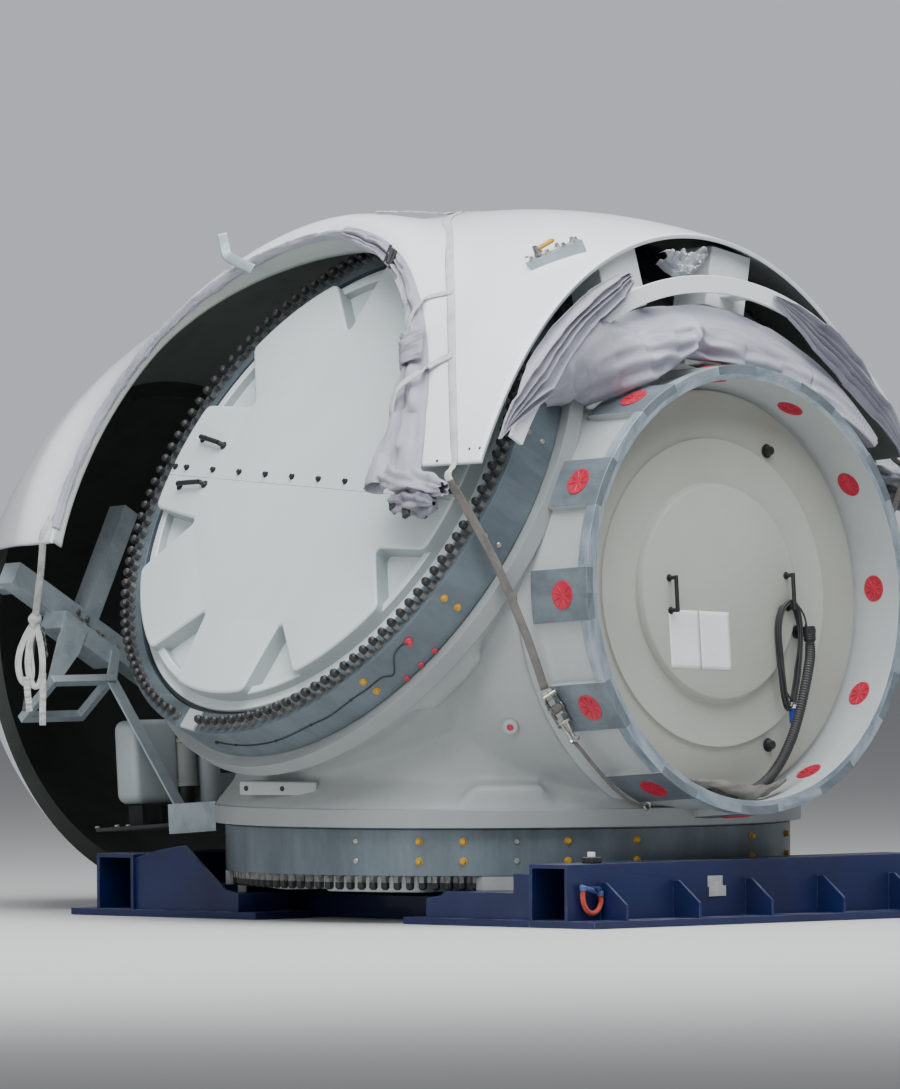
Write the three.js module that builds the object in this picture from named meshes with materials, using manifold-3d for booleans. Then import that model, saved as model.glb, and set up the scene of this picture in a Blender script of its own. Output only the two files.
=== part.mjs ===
// Rotor hub of a wind turbine with the top of its spinner, on a steel transport frame.
// Millimetres, +Z up, the nose towards +Y. The origin is on the ground under the hub's centre.
import * as THREE from 'three';
import { mergeVertices } from 'three/addons/utils/BufferGeometryUtils.js';
import Module from 'manifold-3d';

const wasm = await Module();
wasm.setup();

// The rotor
const HUB_HEIGHT = 1575;
const CONE_ANGLE = THREE.MathUtils.degToRad(3.725);
const BLADE_ANGLES = { bottom: 270, left: 150, right: 30 };
const GAP = 0.4;
const ROUND = 48;

// The hub casting
const CASTING_RADIUS = 1470;
const NECK_RADIUS = 1400;
const FLANGE_RADIUS = 1512;
const FLANGE_FACE = 1085;
const FLANGE_THICKNESS = 95;
const CASTING_REAR = 1300;
const CASTING_FRONT = 1230;

// The blade bearings, measured along each blade's own axis
const BEARING_RADIUS = 1455;
const BEARING_BORE = 1337;
const BEARING_FACE = 1330;
const RACE_RADIUS = 1332;
const RACE_BORE = 1150;
const RACE_FACE = 1352;
const PLATE_FACE = 1420;
const PLATE_RADIUS = 1260;
const PLATE_RIM_RADIUS = 1312;
const PLATE_RIM_FACE = 1375;
const PLATE_NOTCHES = 8;
const NOTCH_TIP_RADIUS = 905;
const NOTCH_HALF_ANGLE = THREE.MathUtils.degToRad(8.5);
const NOTCH_TURN = THREE.MathUtils.degToRad(11.8);
const SEAM_TURN = THREE.MathUtils.degToRad(9.5);
const SEAM_OFFSET = -63;

// The collar that takes the main shaft
const COLLAR_FACE = 1783.5;
const COLLAR_RADIUS = 1147;
const COLLAR_BORE = 1075;
const COLLAR_BODY_RADIUS = 1108;
const COLLAR_LIP = 70;
const COLLAR_SEAT = 1466;
const COLLAR_SEAT_BORE = 980;
const PAD_COUNT = 12;
const PAD_WIDTH = 273;
const PAD_LENGTH = 409;
const PLUG_RADIUS = 73;
const PLUG_BACK = 177;
const PLUG_DIMPLE = 6;

// The shaft cover and its two handles
const COVER_RADIUS = 1010;
const COVER_FACE = 1507;
const COVER_STEP_RADIUS = 795;
const COVER_STEP_FACE = 1526;
const COVER_DISC_RADIUS = 553;
const COVER_DISC_FACE = 1576;

// The spinner
const SPINNER_REAR = -1444;
const SPINNER_SPLIT = 2495;
const SPINNER_TIP = 3550;
const CROWN_RADIUS = 2055;
const REAR_DROP = 219;
const NOSE_POWER = 0.609;
const LOBE_DEPTH = 86;
const SHELL_THICKNESS = 22;
const OPENING_RADIUS = 1335;
const OPENING_FORWARD = 343;
const OPENING_PLANE = 1710;
const OPENING_BLEND = 330;
const LEG_HEIGHT = 690;
const FRONT_EDGE_HEIGHT = 475;

// The arch and brackets behind the top shell
const ARCH_BACK = 1559;
const ARCH_BORE = 1530;
const ARCH_RADIUS = 1620;
const ARCH_THICKNESS = 25;
const ARCH_FOOT_HEIGHT = 560;
const BRACKET_ANGLE = 13;
const BRACKET_WIDTH = 120;
const BRACKET_BACK = 1425;
const BRACKET_LOW = 1180;
const BRACKET_TOP = 1760;

// The cloth behind the hub, hung on the arch and rolled along the blade openings
const DRAPE_RADIUS = 1495;
const DRAPE_BACK = 1500;
const DRAPE_FRONT = 1440;
const DRAPE_ENDS = [32, 142];
const CURTAIN_BACK = 1605;
const CURTAIN_BORE = 1500;
const CURTAIN_RADIUS = 1740;
const CURTAIN_ENDS = [110, 152];
const SKIRT_WIDTH = 80;
const SKIRT_LOW = 1600;
const SKIRT_HIGH = 1745;
const SKIRT_ENDS = [-5, 58];
const BUNDLE_SIZE = 130;
const BUNDLE_FROM = [-1700, -840];
const BUNDLE_TO = [-1600, -1270];

// The lashing over the shell and round the collar: degrees round the rotor and distance along it
const STRAP_WIDTH = 45;
const STRAP_THICKNESS = 5;
const STRAP_ON_SHELL = [
  [90, 60], [96, 10], [103, -180], [107, -330], [113.5, -540], [119.5, -700], [124.5, -820],
  [129.5, -920], [134.5, -1009], [144.2, -1161], [151.8, -1257], [156.5, -1303], [161, -1335],
];
const LASHING_TO_RATCHET = [
  [-1622, -1352, 500], [-1360, -1358, 165], [-1190, -1374, -200], [-1091, -1390, -473],
];
const LASHING_TO_EYE = [
  [203.6, -1390], [211, -1405], [218.5, -1420], [228, -1430], [237.5, -1415], [247.8, -1412],
];
const LASHING_RADIUS = 1190;
const EYE_RADIUS = 1152;
const RATCHET_ENDS = [[-1090, -1390, -476], [-931, -1420, -741]];
const RATCHET_WIDTH = 76;
const RATCHET_DEPTH = 46;
const TAIL_CLEARANCE = 2;
const FRONT_TIE = [[-1506, 1752, 470], [-1376, 2055, 30], [-1261.3, 2332.7, -376]];

// The lifting plate on the shell: its centre's angle and distance, its size, its turn and slope
const LIFTING_ANGLE = 110;
const LIFTING_PLACE = -1140;
const LIFTING_SIZE = [300, 172, 12];
const LIFTING_TURN = -32;
const LIFTING_SLOPE = -8;

// The frame inside the nose, one arm and one post for each blade
const NOSE_TUBE_RADIUS = 330;
const ARM_PLANE = 2300;
const ARM_OFFSET = 380;
const ARM_REACH = 1345;
const ARM_DEPTH = 120;
const ARM_ROOT = 250;
const POST_DISTANCE = 780;
const POST_HALF = 50;
const POST_TOP = 310;
const ANGLE_BAR = { width: 100, back: 2140, from: 600, to: 1030 };
const NOSE_PAD_DISTANCE = 1215;
const NOSE_PAD_HALF = 30;
const NOSE_FLANGE_BORE = 1262;
const NOSE_FLANGE_THICKNESS = 20;

// The step frame under the left arm, and its strut
const STEP_CORNER = [-1255, 2100, -235];
const STEP_LENGTH = 440;
const STEP_WIDTH = 340;
const STEP_BAR = 42;
const STEP_SLOPE = 36;
const STRUT_FROM = [-836, 2125, -222];
const STRUT_TO = [-622, 1790, -1030];
const STRUT_SIZE = [70, 12];
const PLATE_STEEL = 12;

// The equipment on a bracket in front of the bottom flange
const TRAY_TOP = -1000;
const TRAY_LOW = [-1000, 1000, -1060];
const TRAY_HIGH = [-180, 2228, TRAY_TOP];
const TRAY_BACK = 1560;
const TRAY_BACK_TOP = -905;
const CABINET_LOW = [-889, 2050, -900];
const CABINET_HIGH = [-481, 2215, -450];
const CABINET_CORNER = 50;
const CABINET_FOOT = 60;
const MOTOR = { x: -392, y: 2070, radius: 65, top: -540, base: -800 };
const CANISTER_EDGE = 12;
const TANK = { x: -245, y: 2070, radius: 76, top: -585, base: -910 };

// The handles, the coiled lead and the hose in the shaft collar
const HANDLE_PLACES = { left: -360, right: 475 };
const HANDLE_HEIGHT = -6;
const HANDLE_HALF = 96;
const HANDLE_BAR = 11;
const HANDLE_STAND = 52;
const HANK_OUTLINE = [
  [366, -215], [378, -140], [405, -85], [440, -56], [475, -46], [508, -56], [532, -90], [545, -140],
  [549, -210], [515, -450], [482, -573], [433, -573], [428, -636], [398, -640], [384, -560],
];
const HANK_OPENING = [
  [398, -215], [409, -150], [430, -104], [452, -84.4], [475, -77.6], [496, -84.4], [508, -106],
  [516, -150], [518, -208], [484, -440], [456, -540], [418, -540], [408, -450],
];
const HANK_BACK = 1578;
const HANK_FRONT = 1616;
const CONNECTOR = { x: 458, top: -573.4, low: -680, radius: 22 };
const ELBOW = { x: 582, z: -211, radius: 26, out: 1618, outlet: 31, low: -262 };
const HOSE_RADIUS = 27;
const HOSE_ROUTE = [
  [582, -1618, -263], [582, -1618, -290], [566, -1631, -340], [530, -1648, -412], [479, -1660, -529],
  [437, -1662, -630], [386, -1664, -732], [338, -1664, -807], [275, -1664, -886], [200, -1664, -953],
  [105, -1664, -1006], [10, -1664, -1032], [-95, -1664, -1040], [-215, -1664, -1022],
];

// The transport frame, alike at both ends
const GIRDER_HEIGHT = 320;
const GIRDER_NEAR = 1475;
const GIRDER_FAR = 1752;
const GIRDER_HALF_LENGTH = 1270;
const GIRDER_PLATE = 20;
const FOOT_THICKNESS = 35;
const FOOT_FAR = 1950;
const GUSSET_PITCH = 515;
const GUSSET_THICKNESS = 14;
const GUSSET_OUTLINE = [[-10, 35], [-10, 225], [40, 225], [190, 115], [190, 35]];
const SUPPORT_LOW = 900;
const SUPPORT_HIGH = 1250;
const SUPPORT_REACH = 700;
const SUPPORT_HEIGHT = 130;
const SUPPORT_TOP = 170;
const SUPPORT_FOOT = 550;
const SUPPORT_WEB = [[700, 35], [1474, 35], [1474, 300], [1300, 345], [1110, 370], [810, 150], [700, 130]];
const BLOCK_SIZE = 190;
const BLOCK_BORE = 1345;
const BLOCK_RADIUS = 1452;
const SIDE_BEAM_X = 620;
const SIDE_BEAM_WIDTH = 220;
const SIDE_BEAM_HEIGHT = 120;
const CROSS_BEAM_WIDTH = 160;
const CROSS_BEAM_HEIGHT = 100;
const PACKER_LOW = [-1130, -1690];
const PACKER_SIZE = [130, 120, 44];
const PIN_X = -1100;
const PIN_HEIGHT = 195;
const PIN_RADIUS = 14;
const PIN_LENGTH = 62;
const SLING_DROP = 159;
const SLING_WIDTH = 34;
const SLING_THICKNESS = 12;

const paint = (color, roughness, metalness = 0) =>
  new THREE.MeshStandardMaterial({ color, roughness, metalness });
const castPaint = paint(0xa3a8a8, 0.5);
const bearingSteel = paint(0x66717c, 0.45, 0.6);
const raceSteel = paint(0x4d5458, 0.5, 0.6);
const platePaint = paint(0xcfd8d8, 0.45);
const collarSteel = paint(0x7d8d9a, 0.45, 0.5);
const coverPaint = paint(0xaeb0a8, 0.6);
const blackPlastic = paint(0x18181a, 0.5);
const spinnerGel = paint(0xe1e8ea, 0.35);
const galvanised = paint(0x8d979c, 0.5, 0.6);
const frameBlue = paint(0x1c2c64, 0.5);
const cloth = paint(0xa5a5b2, 0.9);
const webbing = paint(0xdcdedb, 0.8);
const darkSteel = paint(0x3a3a3c, 0.5, 0.5);
const blockGrey = paint(0x9aa0a0, 0.7);
const slingOrange = paint(0xe6503c, 0.8);

const X_AXIS = new THREE.Vector3(1, 0, 0);
const Y_AXIS = new THREE.Vector3(0, 1, 0);
const Z_AXIS = new THREE.Vector3(0, 0, 1);

const part = new THREE.Group();
const rotor = new THREE.Group();
rotor.position.z = HUB_HEIGHT;
rotor.rotation.x = -CONE_ANGLE;
part.add(rotor);

// Closed bodies: corners are shared and every face points outwards.
function weld(geometry) {
  const plain = geometry.clone();
  for (const name of Object.keys(plain.attributes)) {
    if (name !== 'position') plain.deleteAttribute(name);
  }
  const merged = mergeVertices(plain, 1e-3);
  const corners = merged.index.array;
  const kept = [];
  for (let i = 0; i < corners.length; i += 3) {
    const [a, b, c] = [corners[i], corners[i + 1], corners[i + 2]];
    if (a !== b && b !== c && c !== a) kept.push(a, b, c);
  }
  if (volumeOf(merged.attributes.position, kept) < 0) {
    for (let i = 0; i < kept.length; i += 3) [kept[i], kept[i + 1]] = [kept[i + 1], kept[i]];
  }
  merged.setIndex(kept);
  return merged;
}

function volumeOf(position, corners) {
  const [a, b, c] = [new THREE.Vector3(), new THREE.Vector3(), new THREE.Vector3()];
  let sum = 0;
  for (let i = 0; i < corners.length; i += 3) {
    a.fromBufferAttribute(position, corners[i]);
    b.fromBufferAttribute(position, corners[i + 1]);
    c.fromBufferAttribute(position, corners[i + 2]);
    sum += a.dot(b.cross(c));
  }
  return sum / 6;
}

function solid(geometry) {
  const body = weld(geometry);
  const mesh = new wasm.Mesh({
    numProp: 3,
    vertProperties: new Float32Array(body.attributes.position.array),
    triVerts: new Uint32Array(body.index.array),
  });
  return new wasm.Manifold(mesh);
}

function geometryOf(body) {
  const mesh = body.getMesh();
  const geometry = new THREE.BufferGeometry();
  geometry.setAttribute('position', new THREE.BufferAttribute(mesh.vertProperties, 3));
  geometry.setIndex(new THREE.BufferAttribute(mesh.triVerts, 1));
  return geometry;
}

function addPiece(name, shape, material, parent) {
  const geometry = shape.isBufferGeometry ? weld(shape) : geometryOf(shape);
  geometry.computeVertexNormals();
  const mesh = new THREE.Mesh(geometry, material);
  mesh.name = name;
  parent.add(mesh);
  return mesh;
}

function joined(bodies) {
  return bodies.reduce((whole, next) => whole.add(next));
}

// Shapes turned about the Y axis, or about the Z axis
function turned(profile, segments = ROUND) {
  return new THREE.LatheGeometry(profile.map(([r, y]) => new THREE.Vector2(r, y)), segments);
}

function turnedUp(profile, segments = ROUND) {
  return turned(profile, segments).rotateX(Math.PI / 2);
}

function discUp(radius, low, high, segments = ROUND) {
  return turnedUp([[0, low], [radius, low], [radius, high], [0, high]], segments);
}

function ringUp(bore, radius, low, high, segments = ROUND) {
  return turnedUp([[bore, low], [radius, low], [radius, high], [bore, high], [bore, low]], segments);
}

function box(low, high) {
  const [x0, y0, z0] = low;
  const [x1, y1, z1] = high;
  return new THREE.BoxGeometry(x1 - x0, y1 - y0, z1 - z0)
    .translate((x0 + x1) / 2, (y0 + y1) / 2, (z0 + z1) / 2);
}

// A straight bar of rectangular section between two points
function bar(from, to, width, depth, widthAxis = X_AXIS) {
  const start = new THREE.Vector3(...from);
  const along = new THREE.Vector3(...to).sub(start);
  const length = along.length();
  const z = along.normalize();
  const y = new THREE.Vector3().crossVectors(z, widthAxis).normalize();
  const x = new THREE.Vector3().crossVectors(y, z);
  return new THREE.BoxGeometry(width, depth, length)
    .translate(0, 0, length / 2)
    .applyMatrix4(new THREE.Matrix4().makeBasis(x, y, z).setPosition(start));
}

// An outline drawn in the YZ plane and drawn out along X, or drawn in the XZ plane and drawn out along Y
function plateAcrossX(outline, low, high) {
  const shape = new THREE.Shape(outline.map(([y, z]) => new THREE.Vector2(y, z)));
  return new THREE.ExtrudeGeometry(shape, { depth: high - low, bevelEnabled: false })
    .applyMatrix4(new THREE.Matrix4().makeBasis(Y_AXIS, Z_AXIS, X_AXIS))
    .translate(low, 0, 0);
}

function plateAcrossY(shape, low, high, curveSegments = 8) {
  return new THREE.ExtrudeGeometry(shape, { depth: high - low, bevelEnabled: false, curveSegments })
    .rotateX(Math.PI / 2)
    .translate(0, high, 0);
}

function roundedShape(low, high, corner) {
  const [x0, z0] = low;
  const [x1, z1] = high;
  const shape = new THREE.Shape();
  shape.absarc(x0 + corner, z0 + corner, corner, Math.PI, 1.5 * Math.PI);
  shape.absarc(x1 - corner, z0 + corner, corner, 1.5 * Math.PI, 2 * Math.PI);
  shape.absarc(x1 - corner, z1 - corner, corner, 0, 0.5 * Math.PI);
  shape.absarc(x0 + corner, z1 - corner, corner, 0.5 * Math.PI, Math.PI);
  shape.closePath();
  return shape;
}

// The part of a ring about the Y axis that lies between two angles, in degrees from X
function ringSector(bore, radius, back, front, ends) {
  const section = [[bore, back], [radius, back], [radius, front], [bore, front], [bore, back]];
  const ring = solid(turned(section, 72));
  return ring.intersect(wedge(2 * radius, ends).rotate([90, 0, 0]));
}

function wedge(reach, ends) {
  const [from, to] = ends.map(THREE.MathUtils.degToRad);
  const shape = new THREE.Shape();
  shape.moveTo(0, 0);
  for (const angle of [from, (from + to) / 2, to]) {
    shape.lineTo(reach * Math.cos(angle), reach * Math.sin(angle));
  }
  shape.closePath();
  const sector = new THREE.ExtrudeGeometry(shape, { depth: 2 * reach, bevelEnabled: false });
  return solid(sector.translate(0, 0, -reach));
}

// A flat strap through a list of points, its face turned away from the rotor's axis
function band(points, width, thickness) {
  const corners = [];
  points.forEach((point, i) => {
    const before = points[Math.max(i - 1, 0)];
    const after = points[Math.min(i + 1, points.length - 1)];
    const along = after.clone().sub(before).normalize();
    const wide = new THREE.Vector3(point.x, 0, point.z).cross(along).normalize();
    const up = new THREE.Vector3().crossVectors(along, wide);
    for (const [w, t] of [[-1, -1], [1, -1], [1, 1], [-1, 1]]) {
      corners.push(point.clone().addScaledVector(wide, w * width / 2).addScaledVector(up, t * thickness / 2));
    }
  });
  const last = corners.length - 4;
  const faces = [0, 2, 1, 0, 3, 2, last, last + 1, last + 2, last, last + 2, last + 3];
  for (let i = 0; i < last; i += 4) {
    for (let j = 0; j < 4; j += 1) {
      const [a, b] = [i + j, i + ((j + 1) % 4)];
      faces.push(a, b, b + 4, a, b + 4, a + 4);
    }
  }
  const geometry = new THREE.BufferGeometry().setFromPoints(corners);
  geometry.setIndex(faces);
  return geometry;
}

// Each blade's frame in the rotor: Z out along the blade, Y towards the nose
function bladeMatrix(side) {
  const angle = THREE.MathUtils.degToRad(BLADE_ANGLES[side]);
  const radial = new THREE.Vector3(Math.cos(angle), 0, Math.sin(angle));
  const [cos, sin] = [Math.cos(CONE_ANGLE), Math.sin(CONE_ANGLE)];
  const z = radial.clone().multiplyScalar(cos).addScaledVector(Y_AXIS, sin);
  const y = Y_AXIS.clone().multiplyScalar(cos).addScaledVector(radial, -sin);
  return new THREE.Matrix4().makeBasis(new THREE.Vector3().crossVectors(y, z), y, z);
}

function bladeGroup(side) {
  const group = new THREE.Group();
  group.applyMatrix4(bladeMatrix(side));
  rotor.add(group);
  return group;
}

const SIDES = Object.keys(BLADE_ANGLES);
const bladeGroups = Object.fromEntries(SIDES.map((side) => [side, bladeGroup(side)]));
const inBlade = (side, geometry) => geometry.applyMatrix4(bladeMatrix(side));

// Hub casting: a thick ball with a neck and a flange for each blade, cut flat at the shaft and nose
function hubCasting() {
  const far = 2 * CASTING_RADIUS;
  const neckProfile = [
    [0, -CASTING_REAR], [COLLAR_RADIUS + 30, -CASTING_REAR], [CASTING_RADIUS - 180, -900],
    [CASTING_RADIUS - 180, 0], [0, 0],
  ];
  let body = solid(new THREE.SphereGeometry(CASTING_RADIUS, 36, 20))
    .add(solid(turned(neckProfile, 48)))
    .subtract(solid(box([-far, -far, -far], [far, -CASTING_REAR, far])))
    .subtract(solid(box([-far, CASTING_FRONT, -far], [far, far, far])));
  for (const side of SIDES) {
    body = body.add(solid(inBlade(side, turnedUp([
      [0, 300], [NECK_RADIUS - 40, 300], [NECK_RADIUS, FLANGE_FACE - 230],
      [FLANGE_RADIUS, FLANGE_FACE - FLANGE_THICKNESS], [FLANGE_RADIUS, FLANGE_FACE], [0, FLANGE_FACE],
    ]))));
  }
  for (const side of SIDES) {
    body = body.subtract(solid(inBlade(side, discUp(far, FLANGE_FACE, far, 24))));
  }
  const collarRoom = turned([
    [0, -far], [COLLAR_RADIUS + 1, -far], [COLLAR_RADIUS + 1, -CASTING_REAR], [0, -CASTING_REAR],
  ], 72);
  const frontFace = turned([[0, CASTING_FRONT], [850, CASTING_FRONT], [850, far], [0, far]]);
  return body.subtract(solid(collarRoom)).subtract(solid(frontFace));
}

// Shaft collar: a ring with machined pads between cast pockets, a plug dimple in each pad
function shaftCollar() {
  const ring = (bore, radius, back, front) =>
    solid(turned([[bore, -back], [radius, -back], [radius, -front], [bore, -front], [bore, -back]], 72));
  const body = ring(COLLAR_BORE, COLLAR_BODY_RADIUS, CASTING_REAR + GAP, COLLAR_FACE);
  const lip = ring(COLLAR_BORE, COLLAR_RADIUS, COLLAR_FACE - COLLAR_LIP, COLLAR_FACE);
  const seat = ring(COLLAR_SEAT_BORE, COLLAR_BODY_RADIUS, COLLAR_SEAT - 60, COLLAR_SEAT);
  const padRing = ring(COLLAR_BODY_RADIUS - 5, COLLAR_RADIUS, COLLAR_FACE - PAD_LENGTH, COLLAR_FACE);
  let pads = null;
  let dimples = null;
  for (let i = 0; i < PAD_COUNT; i += 1) {
    const turn = (2 * Math.PI * i) / PAD_COUNT;
    const sector = box([COLLAR_BORE / 2, -2000, -PAD_WIDTH / 2], [1400, -1000, PAD_WIDTH / 2]);
    const pad = solid(sector.rotateY(turn));
    const dimple = solid(new THREE.CylinderGeometry(PLUG_RADIUS, PLUG_RADIUS, 100, 12)
      .rotateZ(Math.PI / 2)
      .translate(COLLAR_RADIUS - PLUG_DIMPLE + 50, -(COLLAR_FACE - PLUG_BACK), 0)
      .rotateY(turn));
    pads = pads ? pads.add(pad) : pad;
    dimples = dimples ? dimples.add(dimple) : dimple;
  }
  return joined([body, lip, seat, padRing.intersect(pads)]).subtract(dimples);
}

function shaftCover() {
  return turned([
    [0, -(COLLAR_SEAT + GAP)], [COVER_RADIUS + 55, -(COLLAR_SEAT + GAP)], [COVER_RADIUS + 55, -COVER_FACE],
    [COVER_STEP_RADIUS, -COVER_FACE], [COVER_STEP_RADIUS, -COVER_STEP_FACE],
    [COVER_DISC_RADIUS + 15, -COVER_STEP_FACE], [COVER_DISC_RADIUS, -COVER_DISC_FACE], [0, -COVER_DISC_FACE],
  ]);
}

// Bearing: the outer ring is bolted to the hub, the inner ring runs inside it on its shoulder
function outerRing() {
  const shoulder = FLANGE_FACE + 25;
  return turnedUp([
    [RACE_BORE + 60, FLANGE_FACE + GAP], [BEARING_RADIUS, FLANGE_FACE + GAP], [BEARING_RADIUS, BEARING_FACE],
    [BEARING_BORE, BEARING_FACE], [BEARING_BORE, shoulder], [RACE_BORE + 60, shoulder],
    [RACE_BORE + 60, FLANGE_FACE + GAP],
  ]);
}

function innerRing() {
  return ringUp(RACE_BORE, RACE_RADIUS, FLANGE_FACE + 25 + GAP, RACE_FACE);
}

// Closing plate: a raised disc with pointed notches round its edge, on a lower rim
function closingPlate() {
  const raised = solid(discUp(PLATE_RADIUS, RACE_FACE + GAP, PLATE_FACE));
  const rim = solid(discUp(PLATE_RIM_RADIUS, RACE_FACE + GAP, PLATE_RIM_FACE));
  const reach = PLATE_RADIUS + 60;
  const half = reach * Math.sin(NOTCH_HALF_ANGLE);
  const outline = new THREE.Shape();
  outline.moveTo(NOTCH_TIP_RADIUS, -25);
  outline.lineTo(reach, -half);
  outline.lineTo(reach, half);
  outline.lineTo(NOTCH_TIP_RADIUS, 25);
  outline.closePath();
  let notches = null;
  for (let i = 0; i < PLATE_NOTCHES; i += 1) {
    const along = NOTCH_TURN + (2 * Math.PI * (i + 0.5)) / PLATE_NOTCHES;
    const notch = solid(new THREE.ExtrudeGeometry(outline, { depth: 200, bevelEnabled: false })
      .rotateZ(Math.PI / 2 - along)
      .translate(0, 0, RACE_FACE - 50));
    notches = notches ? notches.add(notch) : notch;
  }
  return raised.subtract(notches).add(rim);
}

function halfPlate(upper) {
  const size = 3000;
  const low = upper ? SEAM_OFFSET + GAP : SEAM_OFFSET - size;
  const side = box([low, -size, 0], [low + size, size, size]).rotateZ(-SEAM_TURN);
  return closingPlate().intersect(solid(side));
}

// Spinner: a body of three lobes, its surface drawn out to a flat lip round each blade opening
const smooth = (low, high, value) => THREE.MathUtils.smoothstep(value, low, high);

function crownRadius(y) {
  if (y < 0) return CROWN_RADIUS - REAR_DROP * (y / SPINNER_REAR) ** 2;
  return CROWN_RADIUS * Math.max(0, 1 - (y / SPINNER_TIP) ** 2) ** NOSE_POWER;
}

function lobedRadius(y, angle) {
  const lobe = LOBE_DEPTH * (1 - smooth(-400, 2400, y));
  return crownRadius(y) - lobe * (1 + Math.sin(3 * angle));
}

// How far the surface rises at the lip nearest to a point, fading out with distance from the lip
function lipRise(side, y, angle, base) {
  if (Math.cos(angle - THREE.MathUtils.degToRad(BLADE_ANGLES[side])) < 0.2) return 0;
  const frame = bladeMatrix(side);
  const local = new THREE.Vector3(base * Math.cos(angle), y, base * Math.sin(angle))
    .applyMatrix4(frame.clone().invert());
  const away = new THREE.Vector2(local.x, local.y - OPENING_FORWARD);
  const fade = 1 - smooth(OPENING_RADIUS, OPENING_RADIUS + OPENING_BLEND, away.length());
  away.setLength(Math.min(away.length(), OPENING_RADIUS));
  const lip = new THREE.Vector3(away.x, away.y + OPENING_FORWARD, OPENING_PLANE).applyMatrix4(frame);
  const rise = Math.hypot(lip.x, lip.z) - lobedRadius(lip.y, Math.atan2(lip.z, lip.x));
  return fade * rise;
}

function shellRadius(y, angle) {
  const base = lobedRadius(y, angle);
  return base + lipRise('left', y, angle, base) + lipRise('right', y, angle, base);
}

function spinnerBody(front, rows, segments, inset) {
  const profile = [[0, SPINNER_REAR]];
  for (let i = 0; i <= rows; i += 1) profile.push([1, THREE.MathUtils.lerp(SPINNER_REAR, front, i / rows)]);
  profile.push([0, front]);
  const geometry = turned(profile, segments);
  const position = geometry.attributes.position;
  for (let i = 0; i < position.count; i += 1) {
    const [x, y, z] = [position.getX(i), position.getY(i), position.getZ(i)];
    if (Math.hypot(x, z) < 0.5) continue;
    const angle = Math.atan2(z, x);
    const radius = shellRadius(y, angle) - inset;
    position.setXYZ(i, radius * Math.cos(angle), y, radius * Math.sin(angle));
  }
  return geometry;
}

// The space under the top shell's outer face, with a hair's breadth round it
function shellCore() {
  const above = solid(box([-4000, -4000, LEG_HEIGHT - GAP], [4000, 4000, 4000]));
  return solid(spinnerBody(SPINNER_SPLIT - GAP, 18, 60, -GAP)).intersect(above);
}

function topShell() {
  const front = SPINNER_SPLIT - GAP;
  const outer = solid(spinnerBody(front, 18, 60, 0));
  const inner = solid(spinnerBody(front, 18, 60, SHELL_THICKNESS)
    .scale(1, 1.001, 1));
  const far = 4000;
  let shell = outer.subtract(inner);
  shell = shell.subtract(solid(box([-far, -far, -far], [far, OPENING_FORWARD, LEG_HEIGHT])));
  shell = shell.subtract(solid(box([-far, OPENING_FORWARD - 1, -far], [far, far, FRONT_EDGE_HEIGHT])));
  for (const side of ['left', 'right']) {
    shell = shell.subtract(solid(inBlade(side,
      discUp(OPENING_RADIUS, 600, far, 60).translate(0, OPENING_FORWARD, 0))));
  }
  return shell;
}

function noseCone() {
  const rows = 7;
  const outer = [];
  const inner = [];
  for (let i = 0; i <= rows; i += 1) {
    const t = i / rows;
    const y = THREE.MathUtils.lerp(SPINNER_SPLIT, SPINNER_TIP, Math.sin(t * Math.PI / 2));
    outer.push([i === rows ? 0 : crownRadius(y), y]);
    inner.push([i === rows ? 0 : crownRadius(y) * (1 - SHELL_THICKNESS / 1400), y - SHELL_THICKNESS * t]);
  }
  const seat = SPINNER_SPLIT + NOSE_FLANGE_THICKNESS;
  inner[0][1] = seat;
  const flange = [[NOSE_FLANGE_BORE, seat], [NOSE_FLANGE_BORE, SPINNER_SPLIT]];
  return turned([...inner.reverse(), ...flange, ...outer], 40);
}

// Arch: a ring segment behind the spinner's rear edge
function rearArch() {
  const ring = solid(turned([
    [ARCH_BORE, -ARCH_BACK], [ARCH_RADIUS, -ARCH_BACK], [ARCH_RADIUS, -ARCH_BACK + ARCH_THICKNESS],
    [ARCH_BORE, -ARCH_BACK + ARCH_THICKNESS], [ARCH_BORE, -ARCH_BACK],
  ]));
  return ring.intersect(solid(box([-2000, -2000, ARCH_FOOT_HEIGHT], [2000, 0, 2000])));
}

// Shell bracket: a boxed strut from the casting's shoulder up to the shell, with a seat for the arch
function shellBracket(turn) {
  const half = BRACKET_WIDTH / 2;
  const front = -CASTING_REAR + 10;
  const seatBack = -ARCH_BACK + ARCH_THICKNESS + GAP;
  const strut = solid(box([-half, -BRACKET_BACK, BRACKET_LOW], [half, front, BRACKET_TOP]));
  const seat = solid(box([-half, seatBack, DRAPE_RADIUS + 10], [half, front, BRACKET_TOP]));
  const casting = solid(new THREE.SphereGeometry(CASTING_RADIUS + GAP, 36, 20));
  return strut.add(seat).subtract(casting).rotate([0, turn, 0]);
}

// The cloth: a sheet over the collar's root, curtains on the arch, skirts along the blade openings
function skirt(ends) {
  const sheet = solid(ringUp(OPENING_RADIUS - SKIRT_WIDTH, OPENING_RADIUS - GAP, SKIRT_LOW, SKIRT_HIGH, 60));
  return sheet.intersect(wedge(2 * OPENING_RADIUS, ends)).translate([0, OPENING_FORWARD, 0]);
}

function skirtBundle(side) {
  const height = LEG_HEIGHT - GAP - BUNDLE_SIZE / 2;
  const [from, to] = [BUNDLE_FROM, BUNDLE_TO].map(([x, y]) => [side * x, y, height]);
  return bar(from, to, BUNDLE_SIZE, BUNDLE_SIZE, X_AXIS);
}

// Lashing: from the eye on the right, over the shell, to the ratchet on the left, then on to the left eye
const around = ([angle, y], radius) => {
  const turn = THREE.MathUtils.degToRad(angle);
  return new THREE.Vector3(radius * Math.cos(turn), y, radius * Math.sin(turn));
};
const mirrored = (point) => new THREE.Vector3(-point.x, point.y, point.z);

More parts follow.
